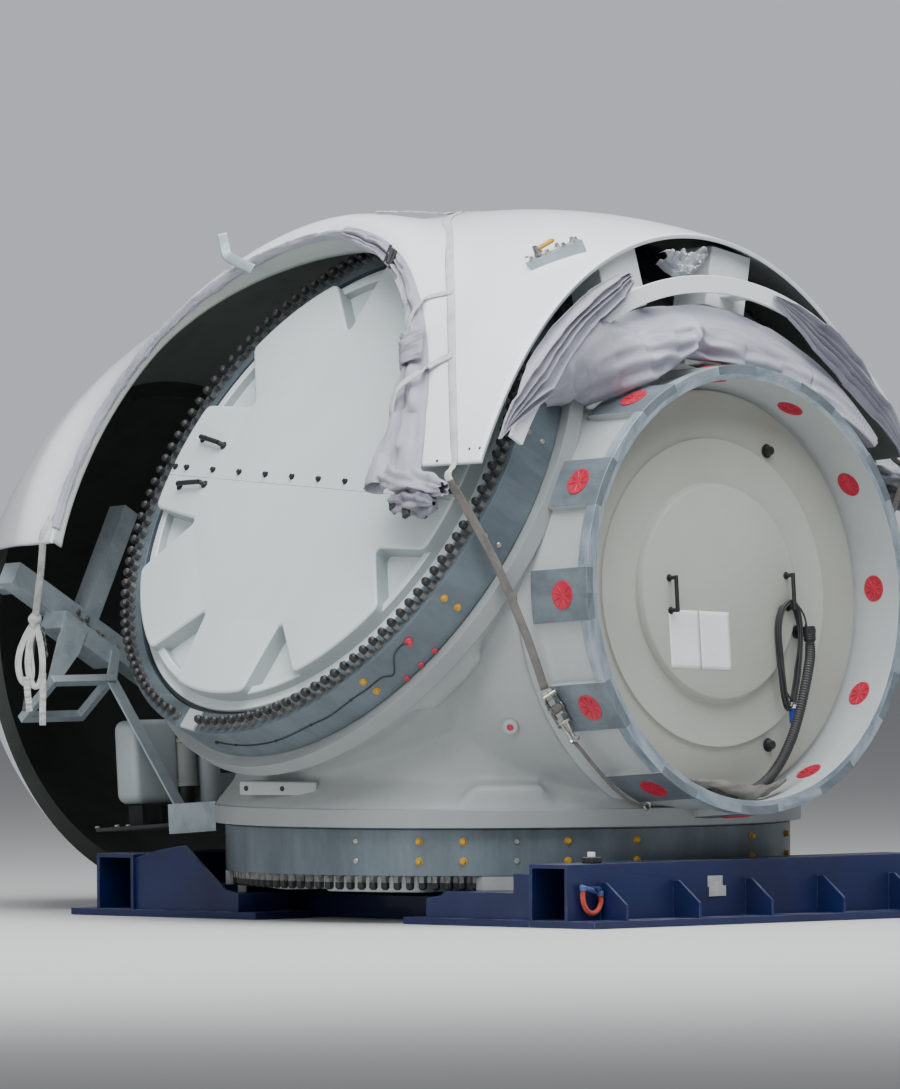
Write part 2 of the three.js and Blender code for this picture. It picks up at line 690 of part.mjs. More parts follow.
function onShell(place, lift) {
  return around(place, shellRadius(place[1], THREE.MathUtils.degToRad(place[0])) + lift);
}

function finePath(points, step) {
  const curve = new THREE.CatmullRomCurve3(points, false, 'centripetal');
  return curve.getSpacedPoints(Math.round(curve.getLength() / step));
}

function lashingStrap() {
  const leftShell = STRAP_ON_SHELL.map((place) => onShell(place, STRAP_THICKNESS));
  const left = [...leftShell, ...LASHING_TO_RATCHET.map((point) => new THREE.Vector3(...point))];
  const eye = LASHING_TO_EYE.slice(1).map((place) => around(place, LASHING_RADIUS));
  const right = [...left.slice(1), ...eye].map(mirrored);
  const body = solid(band(finePath([...right.reverse(), ...left], 110), STRAP_WIDTH, 4 * STRAP_THICKNESS));
  return body.subtract(shellCore());
}

function lashingTail() {
  const eye = around(LASHING_TO_EYE.at(-1), EYE_RADIUS + STRAP_THICKNESS);
  const route = [...LASHING_TO_EYE.slice(2).map((place) => around(place, LASHING_RADIUS)), eye];
  const path = finePath(route, 60);
  const start = path[0].clone();
  path[0].addScaledVector(path[1].clone().sub(start).normalize(), TAIL_CLEARANCE);
  return band(path, STRAP_WIDTH, STRAP_THICKNESS);
}

function ratchet() {
  return bar(RATCHET_ENDS[0], RATCHET_ENDS[1], RATCHET_WIDTH, RATCHET_DEPTH, Y_AXIS);
}

function frontTie() {
  return band(FRONT_TIE.map((point) => new THREE.Vector3(...point)), STRAP_WIDTH, STRAP_THICKNESS);
}

// Lifting plate, bedded on the shell
function liftingPlate() {
  const [length, width, thickness] = LIFTING_SIZE;
  const place = [LIFTING_ANGLE, LIFTING_PLACE];
  const seat = onShell(place, thickness);
  const depth = 5 * thickness;
  const plate = new THREE.BoxGeometry(length, width, depth)
    .translate(0, 0, -depth / 2)
    .rotateZ(THREE.MathUtils.degToRad(LIFTING_TURN))
    .rotateX(THREE.MathUtils.degToRad(LIFTING_SLOPE))
    .rotateY(THREE.MathUtils.degToRad(90 - LIFTING_ANGLE))
    .translate(seat.x, seat.y, seat.z);
  return solid(plate).subtract(shellCore());
}

// Nose frame: a tube from the casting's front with an arm and a post for each blade
function noseFrame() {
  const arms = [];
  for (const side of SIDES) {
    const turn = Math.PI / 2 - THREE.MathUtils.degToRad(BLADE_ANGLES[side]);
    const half = ARM_DEPTH / 2;
    const [back, front] = [ARM_PLANE - half, ARM_PLANE + half];
    const arm = box([-ARM_OFFSET - half, back, -ARM_ROOT], [-ARM_OFFSET + half, front, ARM_REACH]);
    const post = box(
      [-ARM_OFFSET, back, POST_DISTANCE - POST_HALF],
      [POST_TOP, front, POST_DISTANCE + POST_HALF],
    );
    const pad = box(
      [-ARM_OFFSET - NOSE_PAD_HALF, ARM_PLANE, NOSE_PAD_DISTANCE - NOSE_PAD_HALF],
      [-ARM_OFFSET + NOSE_PAD_HALF, SPINNER_SPLIT - GAP, NOSE_PAD_DISTANCE + NOSE_PAD_HALF],
    );
    const angleBar = box(
      [-ARM_OFFSET - half - ANGLE_BAR.width, ANGLE_BAR.back, ANGLE_BAR.from],
      [-ARM_OFFSET - half + 1, ARM_PLANE, ANGLE_BAR.to],
    );
    arms.push(...[arm, post, pad, angleBar].map((shape) => solid(shape.rotateY(turn))));
  }
  const tube = solid(turned([[0, CASTING_FRONT + GAP], [NOSE_TUBE_RADIUS, CASTING_FRONT + GAP],
    [NOSE_TUBE_RADIUS, ARM_PLANE + ARM_DEPTH / 2], [0, ARM_PLANE + ARM_DEPTH / 2]], 24));
  return joined([tube, ...arms]);
}

// Step frame: a tilted tray frame hung from the left arm's angle bar by two plates, with a strut below
function stepFrame() {
  const ring = roundedShape([0, 0], [STEP_LENGTH, STEP_WIDTH], 6);
  ring.holes.push(roundedShape([STEP_BAR, STEP_BAR], [STEP_LENGTH - STEP_BAR, STEP_WIDTH - STEP_BAR], 6));
  const tray = new THREE.ExtrudeGeometry(ring, { depth: STEP_BAR, bevelEnabled: false, curveSegments: 2 })
    .rotateX(THREE.MathUtils.degToRad(-STEP_SLOPE))
    .translate(...STEP_CORNER);
  const turn = Math.PI / 2 - THREE.MathUtils.degToRad(BLADE_ANGLES.left);
  const back = ANGLE_BAR.back - GAP - PLATE_STEEL;
  const hanger = (outline) => {
    const shape = new THREE.Shape(outline.map(([across, out]) => new THREE.Vector2(across, out)));
    return solid(plateAcrossY(shape, back, back + PLATE_STEEL).rotateY(turn));
  };
  const strut = solid(bar(STRUT_FROM, STRUT_TO, ...STRUT_SIZE, X_AXIS));
  const below = solid(box([-2000, 0, -2000], [0, 3000, TRAY_TOP + GAP]));
  return joined([
    solid(tray),
    hanger([[-470, 1020], [-470, 860], [-600, 860], [-845, 930], [-845, 985], [-600, 1020]]),
    hanger([[-470, 665], [-470, 605], [-640, 555], [-640, 625]]),
    strut.subtract(below),
  ]);
}

// Equipment tray: a plate with a back edge bedded on the bottom flange
function equipmentTray() {
  const back = box([TRAY_LOW[0], TRAY_LOW[1], TRAY_LOW[2]], [TRAY_HIGH[0], TRAY_BACK, TRAY_BACK_TOP]);
  const flange = inBlade('bottom', discUp(FLANGE_RADIUS + GAP, 0, 2 * FLANGE_FACE, 96));
  return solid(box(TRAY_LOW, TRAY_HIGH)).add(solid(back)).subtract(solid(flange));
}

function cabinet() {
  const [low, high] = [CABINET_LOW, CABINET_HIGH].map(([x, , z]) => [x, z]);
  const outline = roundedShape(low, high, CABINET_CORNER);
  const foot = box(
    [CABINET_LOW[0] + CABINET_FOOT, CABINET_LOW[1] + 30, TRAY_TOP + GAP],
    [CABINET_HIGH[0] - CABINET_FOOT, CABINET_HIGH[1] - 30, CABINET_LOW[2] + 10],
  );
  return joined([solid(plateAcrossY(outline, CABINET_LOW[1], CABINET_HIGH[1])), solid(foot)]);
}

// A round machine standing on the tray, on a narrower base
function canister(place) {
  const { radius, top, base } = place;
  const foot = 0.8 * radius;
  return turnedUp([
    [0, TRAY_TOP + GAP], [foot, TRAY_TOP + GAP], [foot, base], [radius, base],
    [radius, top - CANISTER_EDGE], [radius - CANISTER_EDGE, top], [0, top],
  ], 24).translate(place.x, place.y, 0);
}

// In the shaft collar: handles on the cover, a coiled lead, its connector, a hose with its gland
function coverHandle(x) {
  const face = -COVER_DISC_FACE - GAP;
  const out = face - HANDLE_STAND;
  const post = (z) => solid(new THREE.CylinderGeometry(HANDLE_BAR, HANDLE_BAR, HANDLE_STAND, 10)
    .translate(x, face - HANDLE_STAND / 2, HANDLE_HEIGHT + z));
  const grip = solid(new THREE.CylinderGeometry(HANDLE_BAR, HANDLE_BAR, 2 * HANDLE_HALF, 10)
    .rotateX(Math.PI / 2)
    .translate(x, out, HANDLE_HEIGHT));
  return joined([grip, post(HANDLE_HALF - HANDLE_BAR - 2), post(HANDLE_BAR + 2 - HANDLE_HALF)]);
}

function leadHank() {
  const flat = (points) => new THREE.Shape(points.map(([x, z]) => new THREE.Vector2(x, z)));
  const loops = solid(plateAcrossY(flat(HANK_OUTLINE), -HANK_FRONT, -HANK_BACK));
  return loops.subtract(solid(plateAcrossY(flat(HANK_OPENING), -HANK_FRONT - 10, -HANK_BACK + 10)));
}

function leadConnector() {
  const { x, top, low, radius } = CONNECTOR;
  return new THREE.CylinderGeometry(radius, radius, top - low, 12)
    .rotateX(Math.PI / 2)
    .translate(x, -(HANK_FRONT + HANK_BACK) / 2, (top + low) / 2);
}

function hoseGland() {
  const { x, z, radius, out, outlet, low } = ELBOW;
  const face = COVER_STEP_FACE + GAP;
  const end = out + radius;
  const body = new THREE.CylinderGeometry(radius, radius, end - face, 16).translate(x, -(end + face) / 2, z);
  const mouth = new THREE.CylinderGeometry(outlet, outlet, z + radius - low, 16)
    .rotateX(Math.PI / 2)
    .translate(x, -out, (z + radius + low) / 2);
  return joined([solid(body), solid(mouth)]);
}

function hose() {
  const section = new THREE.Shape();
  section.absarc(0, 0, HOSE_RADIUS, 0, 2 * Math.PI);
  const route = new THREE.CatmullRomCurve3(HOSE_ROUTE.map((point) => new THREE.Vector3(...point)));
  const sweep = { extrudePath: route, steps: 40, curveSegments: 4, bevelEnabled: false };
  return new THREE.ExtrudeGeometry(section, sweep);
}

// Girder: a hollow box beam along X, open at both ends, on a wider foot plate held by gussets
function girder() {
  const long = GIRDER_HALF_LENGTH;
  const plate = GIRDER_PLATE;
  const outer = solid(box([-long, GIRDER_NEAR, 0], [long, GIRDER_FAR, GIRDER_HEIGHT]));
  const inner = solid(box(
    [-2 * long, GIRDER_NEAR + plate, FOOT_THICKNESS],
    [2 * long, GIRDER_FAR - plate, GIRDER_HEIGHT - plate],
  ));
  const foot = solid(box([-long, GIRDER_NEAR, 0], [long, FOOT_FAR, FOOT_THICKNESS]));
  const outline = GUSSET_OUTLINE.map(([out, z]) => [GIRDER_FAR + out, z]);
  const gussets = [-2, -1, 0, 1, 2].map((place) => {
    const x = place * GUSSET_PITCH;
    return solid(plateAcrossX(outline, x - GUSSET_THICKNESS / 2, x + GUSSET_THICKNESS / 2));
  });
  return joined([outer.subtract(inner), foot, ...gussets]);
}

// The front girder also has a pin for the sling
function frontGirder() {
  const pin = solid(new THREE.CylinderGeometry(PIN_RADIUS, PIN_RADIUS, PIN_LENGTH + 10, 12)
    .translate(PIN_X, -GIRDER_FAR - PIN_LENGTH / 2 + 5, PIN_HEIGHT));
  return girder().mirror([0, 1, 0]).add(pin);
}

// Corner support: a low box on a foot plate, with a side web and a top flange under the bearing
function cornerSupport(x, y) {
  const end = GIRDER_NEAR - GAP;
  const foot = box([SUPPORT_LOW - 20, SUPPORT_FOOT, 0], [GIRDER_HALF_LENGTH, end, FOOT_THICKNESS]);
  const body = box([SUPPORT_LOW, SUPPORT_REACH, 0], [SUPPORT_HIGH, end, SUPPORT_HEIGHT]);
  const flange = box([SUPPORT_LOW, SUPPORT_LOW, 0], [SUPPORT_HIGH, end, SUPPORT_TOP]);
  const web = plateAcrossX(SUPPORT_WEB, SUPPORT_HIGH - GIRDER_PLATE, SUPPORT_HIGH);
  return inCorner(joined([foot, body, flange, web].map(solid)), x, y);
}

function supportBlock(x, y) {
  const top = HUB_HEIGHT - BEARING_FACE - GAP;
  const ring = solid(ringUp(BLOCK_BORE, BLOCK_RADIUS, SUPPORT_TOP + GAP, top, 96));
  const low = SUPPORT_LOW + 5;
  return inCorner(ring.intersect(solid(box([low, low, 0], [low + BLOCK_SIZE, low + BLOCK_SIZE, top]))), x, y);
}

function inCorner(body, x, y) {
  const across = x < 0 ? body.mirror([1, 0, 0]) : body;
  return y < 0 ? across.mirror([0, 1, 0]) : across;
}

function sideBeam(side) {
  const x = side * SIDE_BEAM_X;
  const half = SIDE_BEAM_WIDTH / 2;
  const end = GIRDER_NEAR - GAP;
  return box([x - half, -end, 0], [x + half, end, SIDE_BEAM_HEIGHT]);
}

function slingLoop() {
  const outer = PIN_RADIUS + GAP + SLING_THICKNESS;
  const top = PIN_HEIGHT + outer;
  const low = PIN_HEIGHT - SLING_DROP;
  const loop = roundedShape([PIN_X - outer, low], [PIN_X + outer, top], outer - 1);
  const inner = outer - SLING_THICKNESS;
  const [innerLow, innerTop] = [low + SLING_THICKNESS, top - SLING_THICKNESS];
  loop.holes.push(roundedShape([PIN_X - inner, innerLow], [PIN_X + inner, innerTop], inner - 1));
  const back = -GIRDER_FAR - 10;
  return plateAcrossY(loop, back - SLING_WIDTH, back, 6);
}

addPiece('hub_casting', hubCasting(), castPaint, rotor);
addPiece('shaft_collar', shaftCollar(), collarSteel, rotor);
addPiece('shaft_cover', shaftCover(), coverPaint, rotor);
for (const side of SIDES) {
  addPiece(`bearing_outer_ring_${side}`, outerRing(), bearingSteel, bladeGroups[side]);
  addPiece(`bearing_inner_ring_${side}`, innerRing(), raceSteel, bladeGroups[side]);
}
for (const side of ['left', 'right']) {
  addPiece(`closing_plate_upper_${side}`, halfPlate(true), platePaint, bladeGroups[side]);
  addPiece(`closing_plate_lower_${side}`, halfPlate(false), platePaint, bladeGroups[side]);
}
addPiece('closing_plate_bottom', closingPlate(), platePaint, bladeGroups.bottom);
addPiece('spinner_top_shell', topShell(), spinnerGel, rotor);
addPiece('spinner_nose_cone', noseCone(), spinnerGel, rotor);
addPiece('spinner_rear_arch', rearArch(), spinnerGel, rotor);
addPiece('shell_bracket_left', shellBracket(-BRACKET_ANGLE), spinnerGel, rotor);
addPiece('shell_bracket_right', shellBracket(BRACKET_ANGLE), spinnerGel, rotor);
addPiece('lifting_plate', liftingPlate(), galvanised, rotor);

addPiece('nose_frame', noseFrame(), galvanised, rotor);
addPiece('nose_step', stepFrame(), galvanised, rotor);
addPiece('equipment_tray', equipmentTray(), galvanised, rotor);
addPiece('equipment_cabinet', cabinet(), platePaint, rotor);
addPiece('pump_motor', canister(MOTOR), galvanised, rotor);
addPiece('pump_tank', canister(TANK), platePaint, rotor);

const drape = ringSector(COLLAR_RADIUS + GAP, DRAPE_RADIUS, -DRAPE_BACK, -DRAPE_FRONT, DRAPE_ENDS);
addPiece('rear_drape', drape, cloth, rotor);
const [curtainLow, curtainHigh] = CURTAIN_ENDS;
const curtain = (ends) =>
  ringSector(CURTAIN_BORE, CURTAIN_RADIUS, -CURTAIN_BACK, -ARCH_BACK - GAP, ends);
addPiece('rear_curtain_left', curtain([curtainLow, curtainHigh]), cloth, rotor);
addPiece('rear_curtain_right', curtain([180 - curtainHigh, 180 - curtainLow]), cloth, rotor);
const [skirtLow, skirtHigh] = SKIRT_ENDS;
addPiece('opening_skirt_left', skirt([-90 + skirtLow, -90 + skirtHigh]), cloth, bladeGroups.left);
addPiece('opening_skirt_right', skirt([-90 - skirtHigh, -90 - skirtLow]), cloth, bladeGroups.right);
addPiece('skirt_bundle_left', skirtBundle(1), cloth, rotor);
addPiece('skirt_bundle_right', skirtBundle(-1), cloth, rotor);

addPiece('lashing_strap', lashingStrap(), webbing, rotor);
addPiece('lashing_ratchet', ratchet(), darkSteel, rotor);
addPiece('lashing_tail', lashingTail(), webbing, rotor);
addPiece('front_tie_strap', frontTie(), webbing, rotor);

addPiece('cover_handle_left', coverHandle(HANDLE_PLACES.left), blackPlastic, rotor);
addPiece('cover_handle_right', coverHandle(HANDLE_PLACES.right), blackPlastic, rotor);
addPiece('lead_hank', leadHank(), blackPlastic, rotor);
addPiece('lead_connector', leadConnector(), webbing, rotor);
addPiece('hose_gland', hoseGland(), blackPlastic, rotor);
addPiece('hose', hose(), blackPlastic, rotor);

addPiece('frame_front_girder', frontGirder(), frameBlue, part);
addPiece('frame_rear_girder', girder(), frameBlue, part);
addPiece('frame_side_beam_left', sideBeam(-1), frameBlue, part);
addPiece('frame_side_beam_right', sideBeam(1), frameBlue, part);
const crossReach = SIDE_BEAM_X - SIDE_BEAM_WIDTH / 2 - GAP;
const crossHalf = CROSS_BEAM_WIDTH / 2;
addPiece(
  'frame_cross_beam',
  box([-crossReach, -crossHalf, 0], [crossReach, crossHalf, CROSS_BEAM_HEIGHT]),
  frameBlue,
  part,
);
for (const [end, y] of [['front', -1], ['rear', 1]]) {
  for (const [side, x] of [['left', -1], ['right', 1]]) {
    addPiece(`frame_support_${end}_${side}`, cornerSupport(x, y), frameBlue, part);
    addPiece(`support_block_${end}_${side}`, supportBlock(x, y), y < 0 ? frameBlue : blockGrey, part);
  }
}
const [packerX, packerY] = PACKER_LOW;
const packerLow = [packerX, packerY, GIRDER_HEIGHT + GAP];
const packerHigh = packerLow.map((value, i) => value + PACKER_SIZE[i]);
addPiece('girder_packer', box(packerLow, packerHigh), darkSteel, part);
addPiece('lifting_sling', slingLoop(), slingOrange, part);

export default part;
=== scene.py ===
# %% [markdown]
# # A wind turbine rotor hub on its transport frame
# The object is the cast hub of a large wind turbine. Three blade bearings are bolted to it, and the
# main shaft will go into the round collar at its back. The top of its white spinner is already on, and
# the whole hub stands on a blue steel frame for the road. This script gives it its looks.

# %% Load the solid model
import math

import bmesh
import bpy
from mathutils import Matrix, Vector, noise


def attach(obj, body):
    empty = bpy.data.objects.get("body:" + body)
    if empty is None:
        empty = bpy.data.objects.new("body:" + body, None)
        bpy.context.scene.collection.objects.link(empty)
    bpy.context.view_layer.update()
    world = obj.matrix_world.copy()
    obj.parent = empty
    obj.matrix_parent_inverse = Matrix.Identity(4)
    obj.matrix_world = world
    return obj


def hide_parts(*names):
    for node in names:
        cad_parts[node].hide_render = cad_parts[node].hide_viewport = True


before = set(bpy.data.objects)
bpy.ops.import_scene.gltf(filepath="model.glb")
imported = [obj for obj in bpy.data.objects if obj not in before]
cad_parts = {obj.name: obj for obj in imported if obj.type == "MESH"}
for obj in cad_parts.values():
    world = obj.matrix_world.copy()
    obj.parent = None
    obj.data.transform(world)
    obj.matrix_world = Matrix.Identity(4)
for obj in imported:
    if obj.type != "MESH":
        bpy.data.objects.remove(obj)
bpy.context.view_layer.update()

# %% [markdown]
# ## Where things are
# The rotor leans back by the cone angle, and each blade bearing has its own axis. One matrix places the
# rotor on the ground frame, and one more for each bearing points its Z outwards along the blade and its
# Y towards the nose. A piece is modelled flat and simple at the origin and then placed by its matrix.

# %% Places of the rotor and of the three bearings
CONE = math.radians(3.725)


def turned(degrees, axis):
    """A turn about one axis, as a matrix."""
    return Matrix.Rotation(math.radians(degrees), 4, axis)


def new_object(name, data):
    """Adds an object to the scene."""
    made = bpy.data.objects.new(name, data)
    bpy.context.scene.collection.objects.link(made)
    return made


def short(values):
    """Rounds numbers for printing."""
    return [round(value, 3) for value in values]


ROTOR = Matrix.Translation((0, 0, 1.575)) @ Matrix.Rotation(-CONE, 4, "X")
SHAFT = ROTOR @ turned(90, "X")
WORLD = Matrix.Identity(4)


def bearing_place(degrees):
    """The matrix of a blade bearing, X along its face, Y towards the nose and Z outwards."""
    angle = math.radians(degrees)
    radial = Vector((math.cos(angle), 0, math.sin(angle)))
    outwards = radial * math.cos(CONE) + Vector((0, math.sin(CONE), 0))
    nose = Vector((0, math.cos(CONE), 0)) - radial * math.sin(CONE)
    return ROTOR @ Matrix((nose.cross(outwards), nose, outwards)).transposed().to_4x4()


BLADE_ANGLES = {"bottom": 270, "left": 150, "right": 30}
BEARINGS = {side: bearing_place(degrees) for side, degrees in BLADE_ANGLES.items()}
SIDES = ("left", "right")
SIGN = {"left": -1, "right": 1}  # of a side along the X axis
BODIES = {"bottom": "frame", "left": "pitch_plate_left", "right": "pitch_plate_right"}
print("left bearing faces", BEARINGS["left"].col[2][:3])

# %% [markdown]
# ## The camera
# The photograph was taken from far away with a long lens, so parallel edges stay parallel. The camera
# stands about a hundred metres off, behind and to the left of the hub, near the height of its axis.

# %% Camera
camera = new_object("Camera", bpy.data.cameras.new("Camera"))
bpy.context.scene.camera = camera
camera.data.lens = 641.54
camera.data.clip_start, camera.data.clip_end = 1, 400
heading, pitch, roll = 0.7622416, -0.0132598, -0.0057217
ahead = Vector((math.sin(heading) * math.cos(pitch), math.cos(heading) * math.cos(pitch), math.sin(pitch)))
level = ahead.cross(Vector((0, 0, 1))).normalized()
upright = level.cross(ahead)
camera_right = level * math.cos(roll) + upright * math.sin(roll)
camera_up = upright * math.cos(roll) - level * math.sin(roll)
camera.matrix_world = Matrix((camera_right, camera_up, -ahead)).transposed().to_4x4()
camera.location = (-69.262, -72.127, 3.238)
print("camera looks along", short(ahead))

# %% [markdown]
# ## Colours
# Colours are picked as screen values from 0 to 255, and shaders want linear light, so one small
# function turns the first into the second.

# %% Screen colour to linear light


def screen(red, green, blue):
    """A colour given as screen values, in linear light, with full alpha."""
    def linear(value):
        value /= 255
        return value / 12.92 if value <= 0.04045 else ((value + 0.055) / 1.055) ** 2.4
    return (linear(red), linear(green), linear(blue), 1)


print("mid grey is", round(screen(128, 128, 128)[0], 3), "in linear light")

# %% [markdown]
# ## Building blocks for finishes
# Every finish needs the same few steps: add a node, set its values, wire it up. Two short helpers keep
# that readable. `put` adds one node, and `effect` opens a node group with named sockets, so that an
# effect such as dirt or streaks is drawn once and used in many materials with other numbers. The rest
# are short names for the nodes that come back most: arithmetic, noise, a ramp and a mix of colours.

# %% Node helpers


def put(tree, kind, inputs=None, **settings):
    """Adds a node; an input is either a plain value or the socket of another node."""
    made = tree.nodes.new(kind)
    for name, value in settings.items():
        setattr(made, name, value)
    for name, value in (inputs or {}).items():
        if isinstance(value, bpy.types.NodeSocket):
            tree.links.new(value, made.inputs[name])
        else:
            made.inputs[name].default_value = value
    return made


def maths(tree, operation, first, second, **settings):
    """One step of arithmetic on two values."""
    return put(tree, "ShaderNodeMath", {0: first, 1: second}, operation=operation, **settings).outputs[0]


def noise_of(tree, place, scale, detail, **more):
    """Cloudy noise round a place, from 0 to 1."""
    inputs = {"Vector": place, "Scale": scale, "Detail": detail}
    return put(tree, "ShaderNodeTexNoise", {**inputs, **more}).outputs["Fac"]


def own_place(tree):
    """A point's place in its object's own coordinates."""
    return put(tree, "ShaderNodeTexCoord").outputs["Object"]


def effect(name, inputs, outputs):
    """A new node group: its tree, what comes in and what goes out."""
    tree = bpy.data.node_groups.new(name, "ShaderNodeTree")
    for label, kind, value in inputs:
        socket = tree.interface.new_socket(label, in_out="INPUT", socket_type=kind)
        if value is not None:
            socket.default_value = value
    for label, kind in outputs:
        tree.interface.new_socket(label, in_out="OUTPUT", socket_type=kind)
    return tree, tree.nodes.new("NodeGroupInput").outputs, tree.nodes.new("NodeGroupOutput").inputs


def ramp(tree, value, low, high):
    """Stretches the values between low and high to 0..1."""
    return put(tree, "ShaderNodeMapRange", {"Value": value, "From Min": low, "From Max": high},
               interpolation_type="SMOOTHSTEP").outputs["Result"]


def mix(tree, share, first, second):
    """Blends two colours by a share."""
    return put(tree, "ShaderNodeMix", {0: share, 6: first, 7: second}, data_type="RGBA").outputs[2]


COLOUR, NUMBER, VECTOR = "NodeSocketColor", "NodeSocketFloat", "NodeSocketVector"
print("node helpers ready")

# %% [markdown]
# ## Shared effects
# Painted castings and steel outdoors are never one flat colour. Six effects cover what shows here:
# cloudy patches in the tone, run-down streaks, dust that settles on upward faces, edges rubbed bright,
# a fine grain in the surface, and the weave of cloth. Noise gives most of them, and the Bevel node
# finds the edges.

# %% Effect: cloudy tone
cloudy, come, go = effect(
    "cloudy_tone",
    [("Colour", COLOUR, (0.5, 0.5, 0.5, 1)), ("Patch Colour", COLOUR, (0.3, 0.3, 0.3, 1)),
     ("Size", NUMBER, 1.0), ("Amount", NUMBER, 0.5), ("Speckle", NUMBER, 0.1)],
    [("Colour", COLOUR), ("Mask", NUMBER)])
place = own_place(cloudy)
clouds = noise_of(cloudy, place, come["Size"], 6.0, Roughness=0.62, Distortion=0.3)
share = maths(cloudy, "MULTIPLY", ramp(cloudy, clouds, 0.38, 0.72), come["Amount"])
specks = noise_of(cloudy, place, 90.0, 3.0)
spots = maths(cloudy, "MULTIPLY", ramp(cloudy, specks, 0.56, 0.7), come["Speckle"])
total = maths(cloudy, "ADD", share, spots, use_clamp=True)
cloudy.links.new(mix(cloudy, total, come["Colour"], come["Patch Colour"]), go["Colour"])
cloudy.links.new(total, go["Mask"])
print("cloudy_tone:", len(cloudy.nodes), "nodes")

# %% Effect: streaks
# The pattern is squeezed across and drawn out along, in the piece's own unrolled coordinates.
streaky, come, go = effect(
    "run_streaks",
    [("Vector", VECTOR, None), ("Across", NUMBER, 8.0), ("Along", NUMBER, 0.5)], [("Mask", NUMBER)])
stretch = put(streaky, "ShaderNodeCombineXYZ", {"X": come["Across"], "Y": come["Along"], "Z": 1.0}).outputs[0]
drawn = put(streaky, "ShaderNodeVectorMath", {0: come["Vector"], 1: stretch}, operation="MULTIPLY").outputs[0]
wide = noise_of(streaky, drawn, 1.0, 5.0, Roughness=0.7)
streaky.links.new(ramp(streaky, wide, 0.35, 0.68), go["Mask"])
print("run_streaks:", len(streaky.nodes), "nodes")

# %% Effect: dust on upward faces
dusty, come, go = effect("settled_dust", [("Amount", NUMBER, 0.5), ("Size", NUMBER, 5.0)], [("Mask", NUMBER)])
facing = put(dusty, "ShaderNodeSeparateXYZ", {0: put(dusty, "ShaderNodeNewGeometry").outputs["Normal"]})
upward = ramp(dusty, facing.outputs["Z"], 0.35, 1.0)
drift = noise_of(dusty, own_place(dusty), come["Size"], 5.0)
loose = maths(dusty, "MULTIPLY", upward, ramp(dusty, drift, 0.3, 0.7))
dusty.links.new(maths(dusty, "MULTIPLY", loose, come["Amount"]), go["Mask"])
print("settled_dust:", len(dusty.nodes), "nodes")

# %% Effect: rubbed edges
rubbed, come, go = effect("rubbed_edges", [("Width", NUMBER, 0.006), ("Amount", NUMBER, 0.6)],
                          [("Mask", NUMBER)])
rounded = put(rubbed, "ShaderNodeBevel", {"Radius": come["Width"]}, samples=4).outputs["Normal"]
true_normal = put(rubbed, "ShaderNodeNewGeometry").outputs["Normal"]
agree = put(rubbed, "ShaderNodeVectorMath", {0: rounded, 1: true_normal}, operation="DOT_PRODUCT")
edge = ramp(rubbed, maths(rubbed, "SUBTRACT", 1.0, agree.outputs["Value"]), 0.02, 0.2)
patchy = noise_of(rubbed, own_place(rubbed), 9.0, 6.0, Roughness=0.7)
worn = maths(rubbed, "MULTIPLY", edge, ramp(rubbed, patchy, 0.42, 0.62))
rubbed.links.new(maths(rubbed, "MULTIPLY", worn, come["Amount"]), go["Mask"])
print("rubbed_edges:", len(rubbed.nodes), "nodes")

# %% Effect: surface grain
grainy, come, go = effect("surface_grain", [("Size", NUMBER, 60.0), ("Depth", NUMBER, 0.3)],
                          [("Height", NUMBER)])
coarse = noise_of(grainy, own_place(grainy), come["Size"], 4.0)
grainy.links.new(maths(grainy, "MULTIPLY", coarse, come["Depth"]), go["Height"])
print("surface_grain:", len(grainy.nodes), "nodes")

# %% Effect: weave
# Two wave patterns, one along and one across, make the over-and-under of woven threads.
woven, come, go = effect("woven_threads", [("Vector", VECTOR, None), ("Threads", NUMBER, 200.0)],
                         [("Height", NUMBER)])
waves = []
for direction in ("X", "Y"):
    waves.append(put(woven, "ShaderNodeTexWave", {"Vector": come["Vector"], "Scale": come["Threads"]},
                     bands_direction=direction).outputs["Fac"])
woven.links.new(maths(woven, "MAXIMUM", *waves), go["Height"])
print("woven_threads:", len(woven.nodes), "nodes")

# %% [markdown]
# ## Finishes
# A finish starts as a base colour with cloudy patches, then takes what it needs: streaks, dust, rubbed
# edges, grain, weave. `paint` builds that whole stack from a few numbers. Each material on the hub is
# one call, so it is easy to compare them and to change one by eye.

# %% The paint builder


def use(tree, group, inputs):
    """Places an effect in a material."""
    return put(tree, "ShaderNodeGroup", inputs, node_tree=group).outputs


DUST_COLOUR = (196, 192, 182)


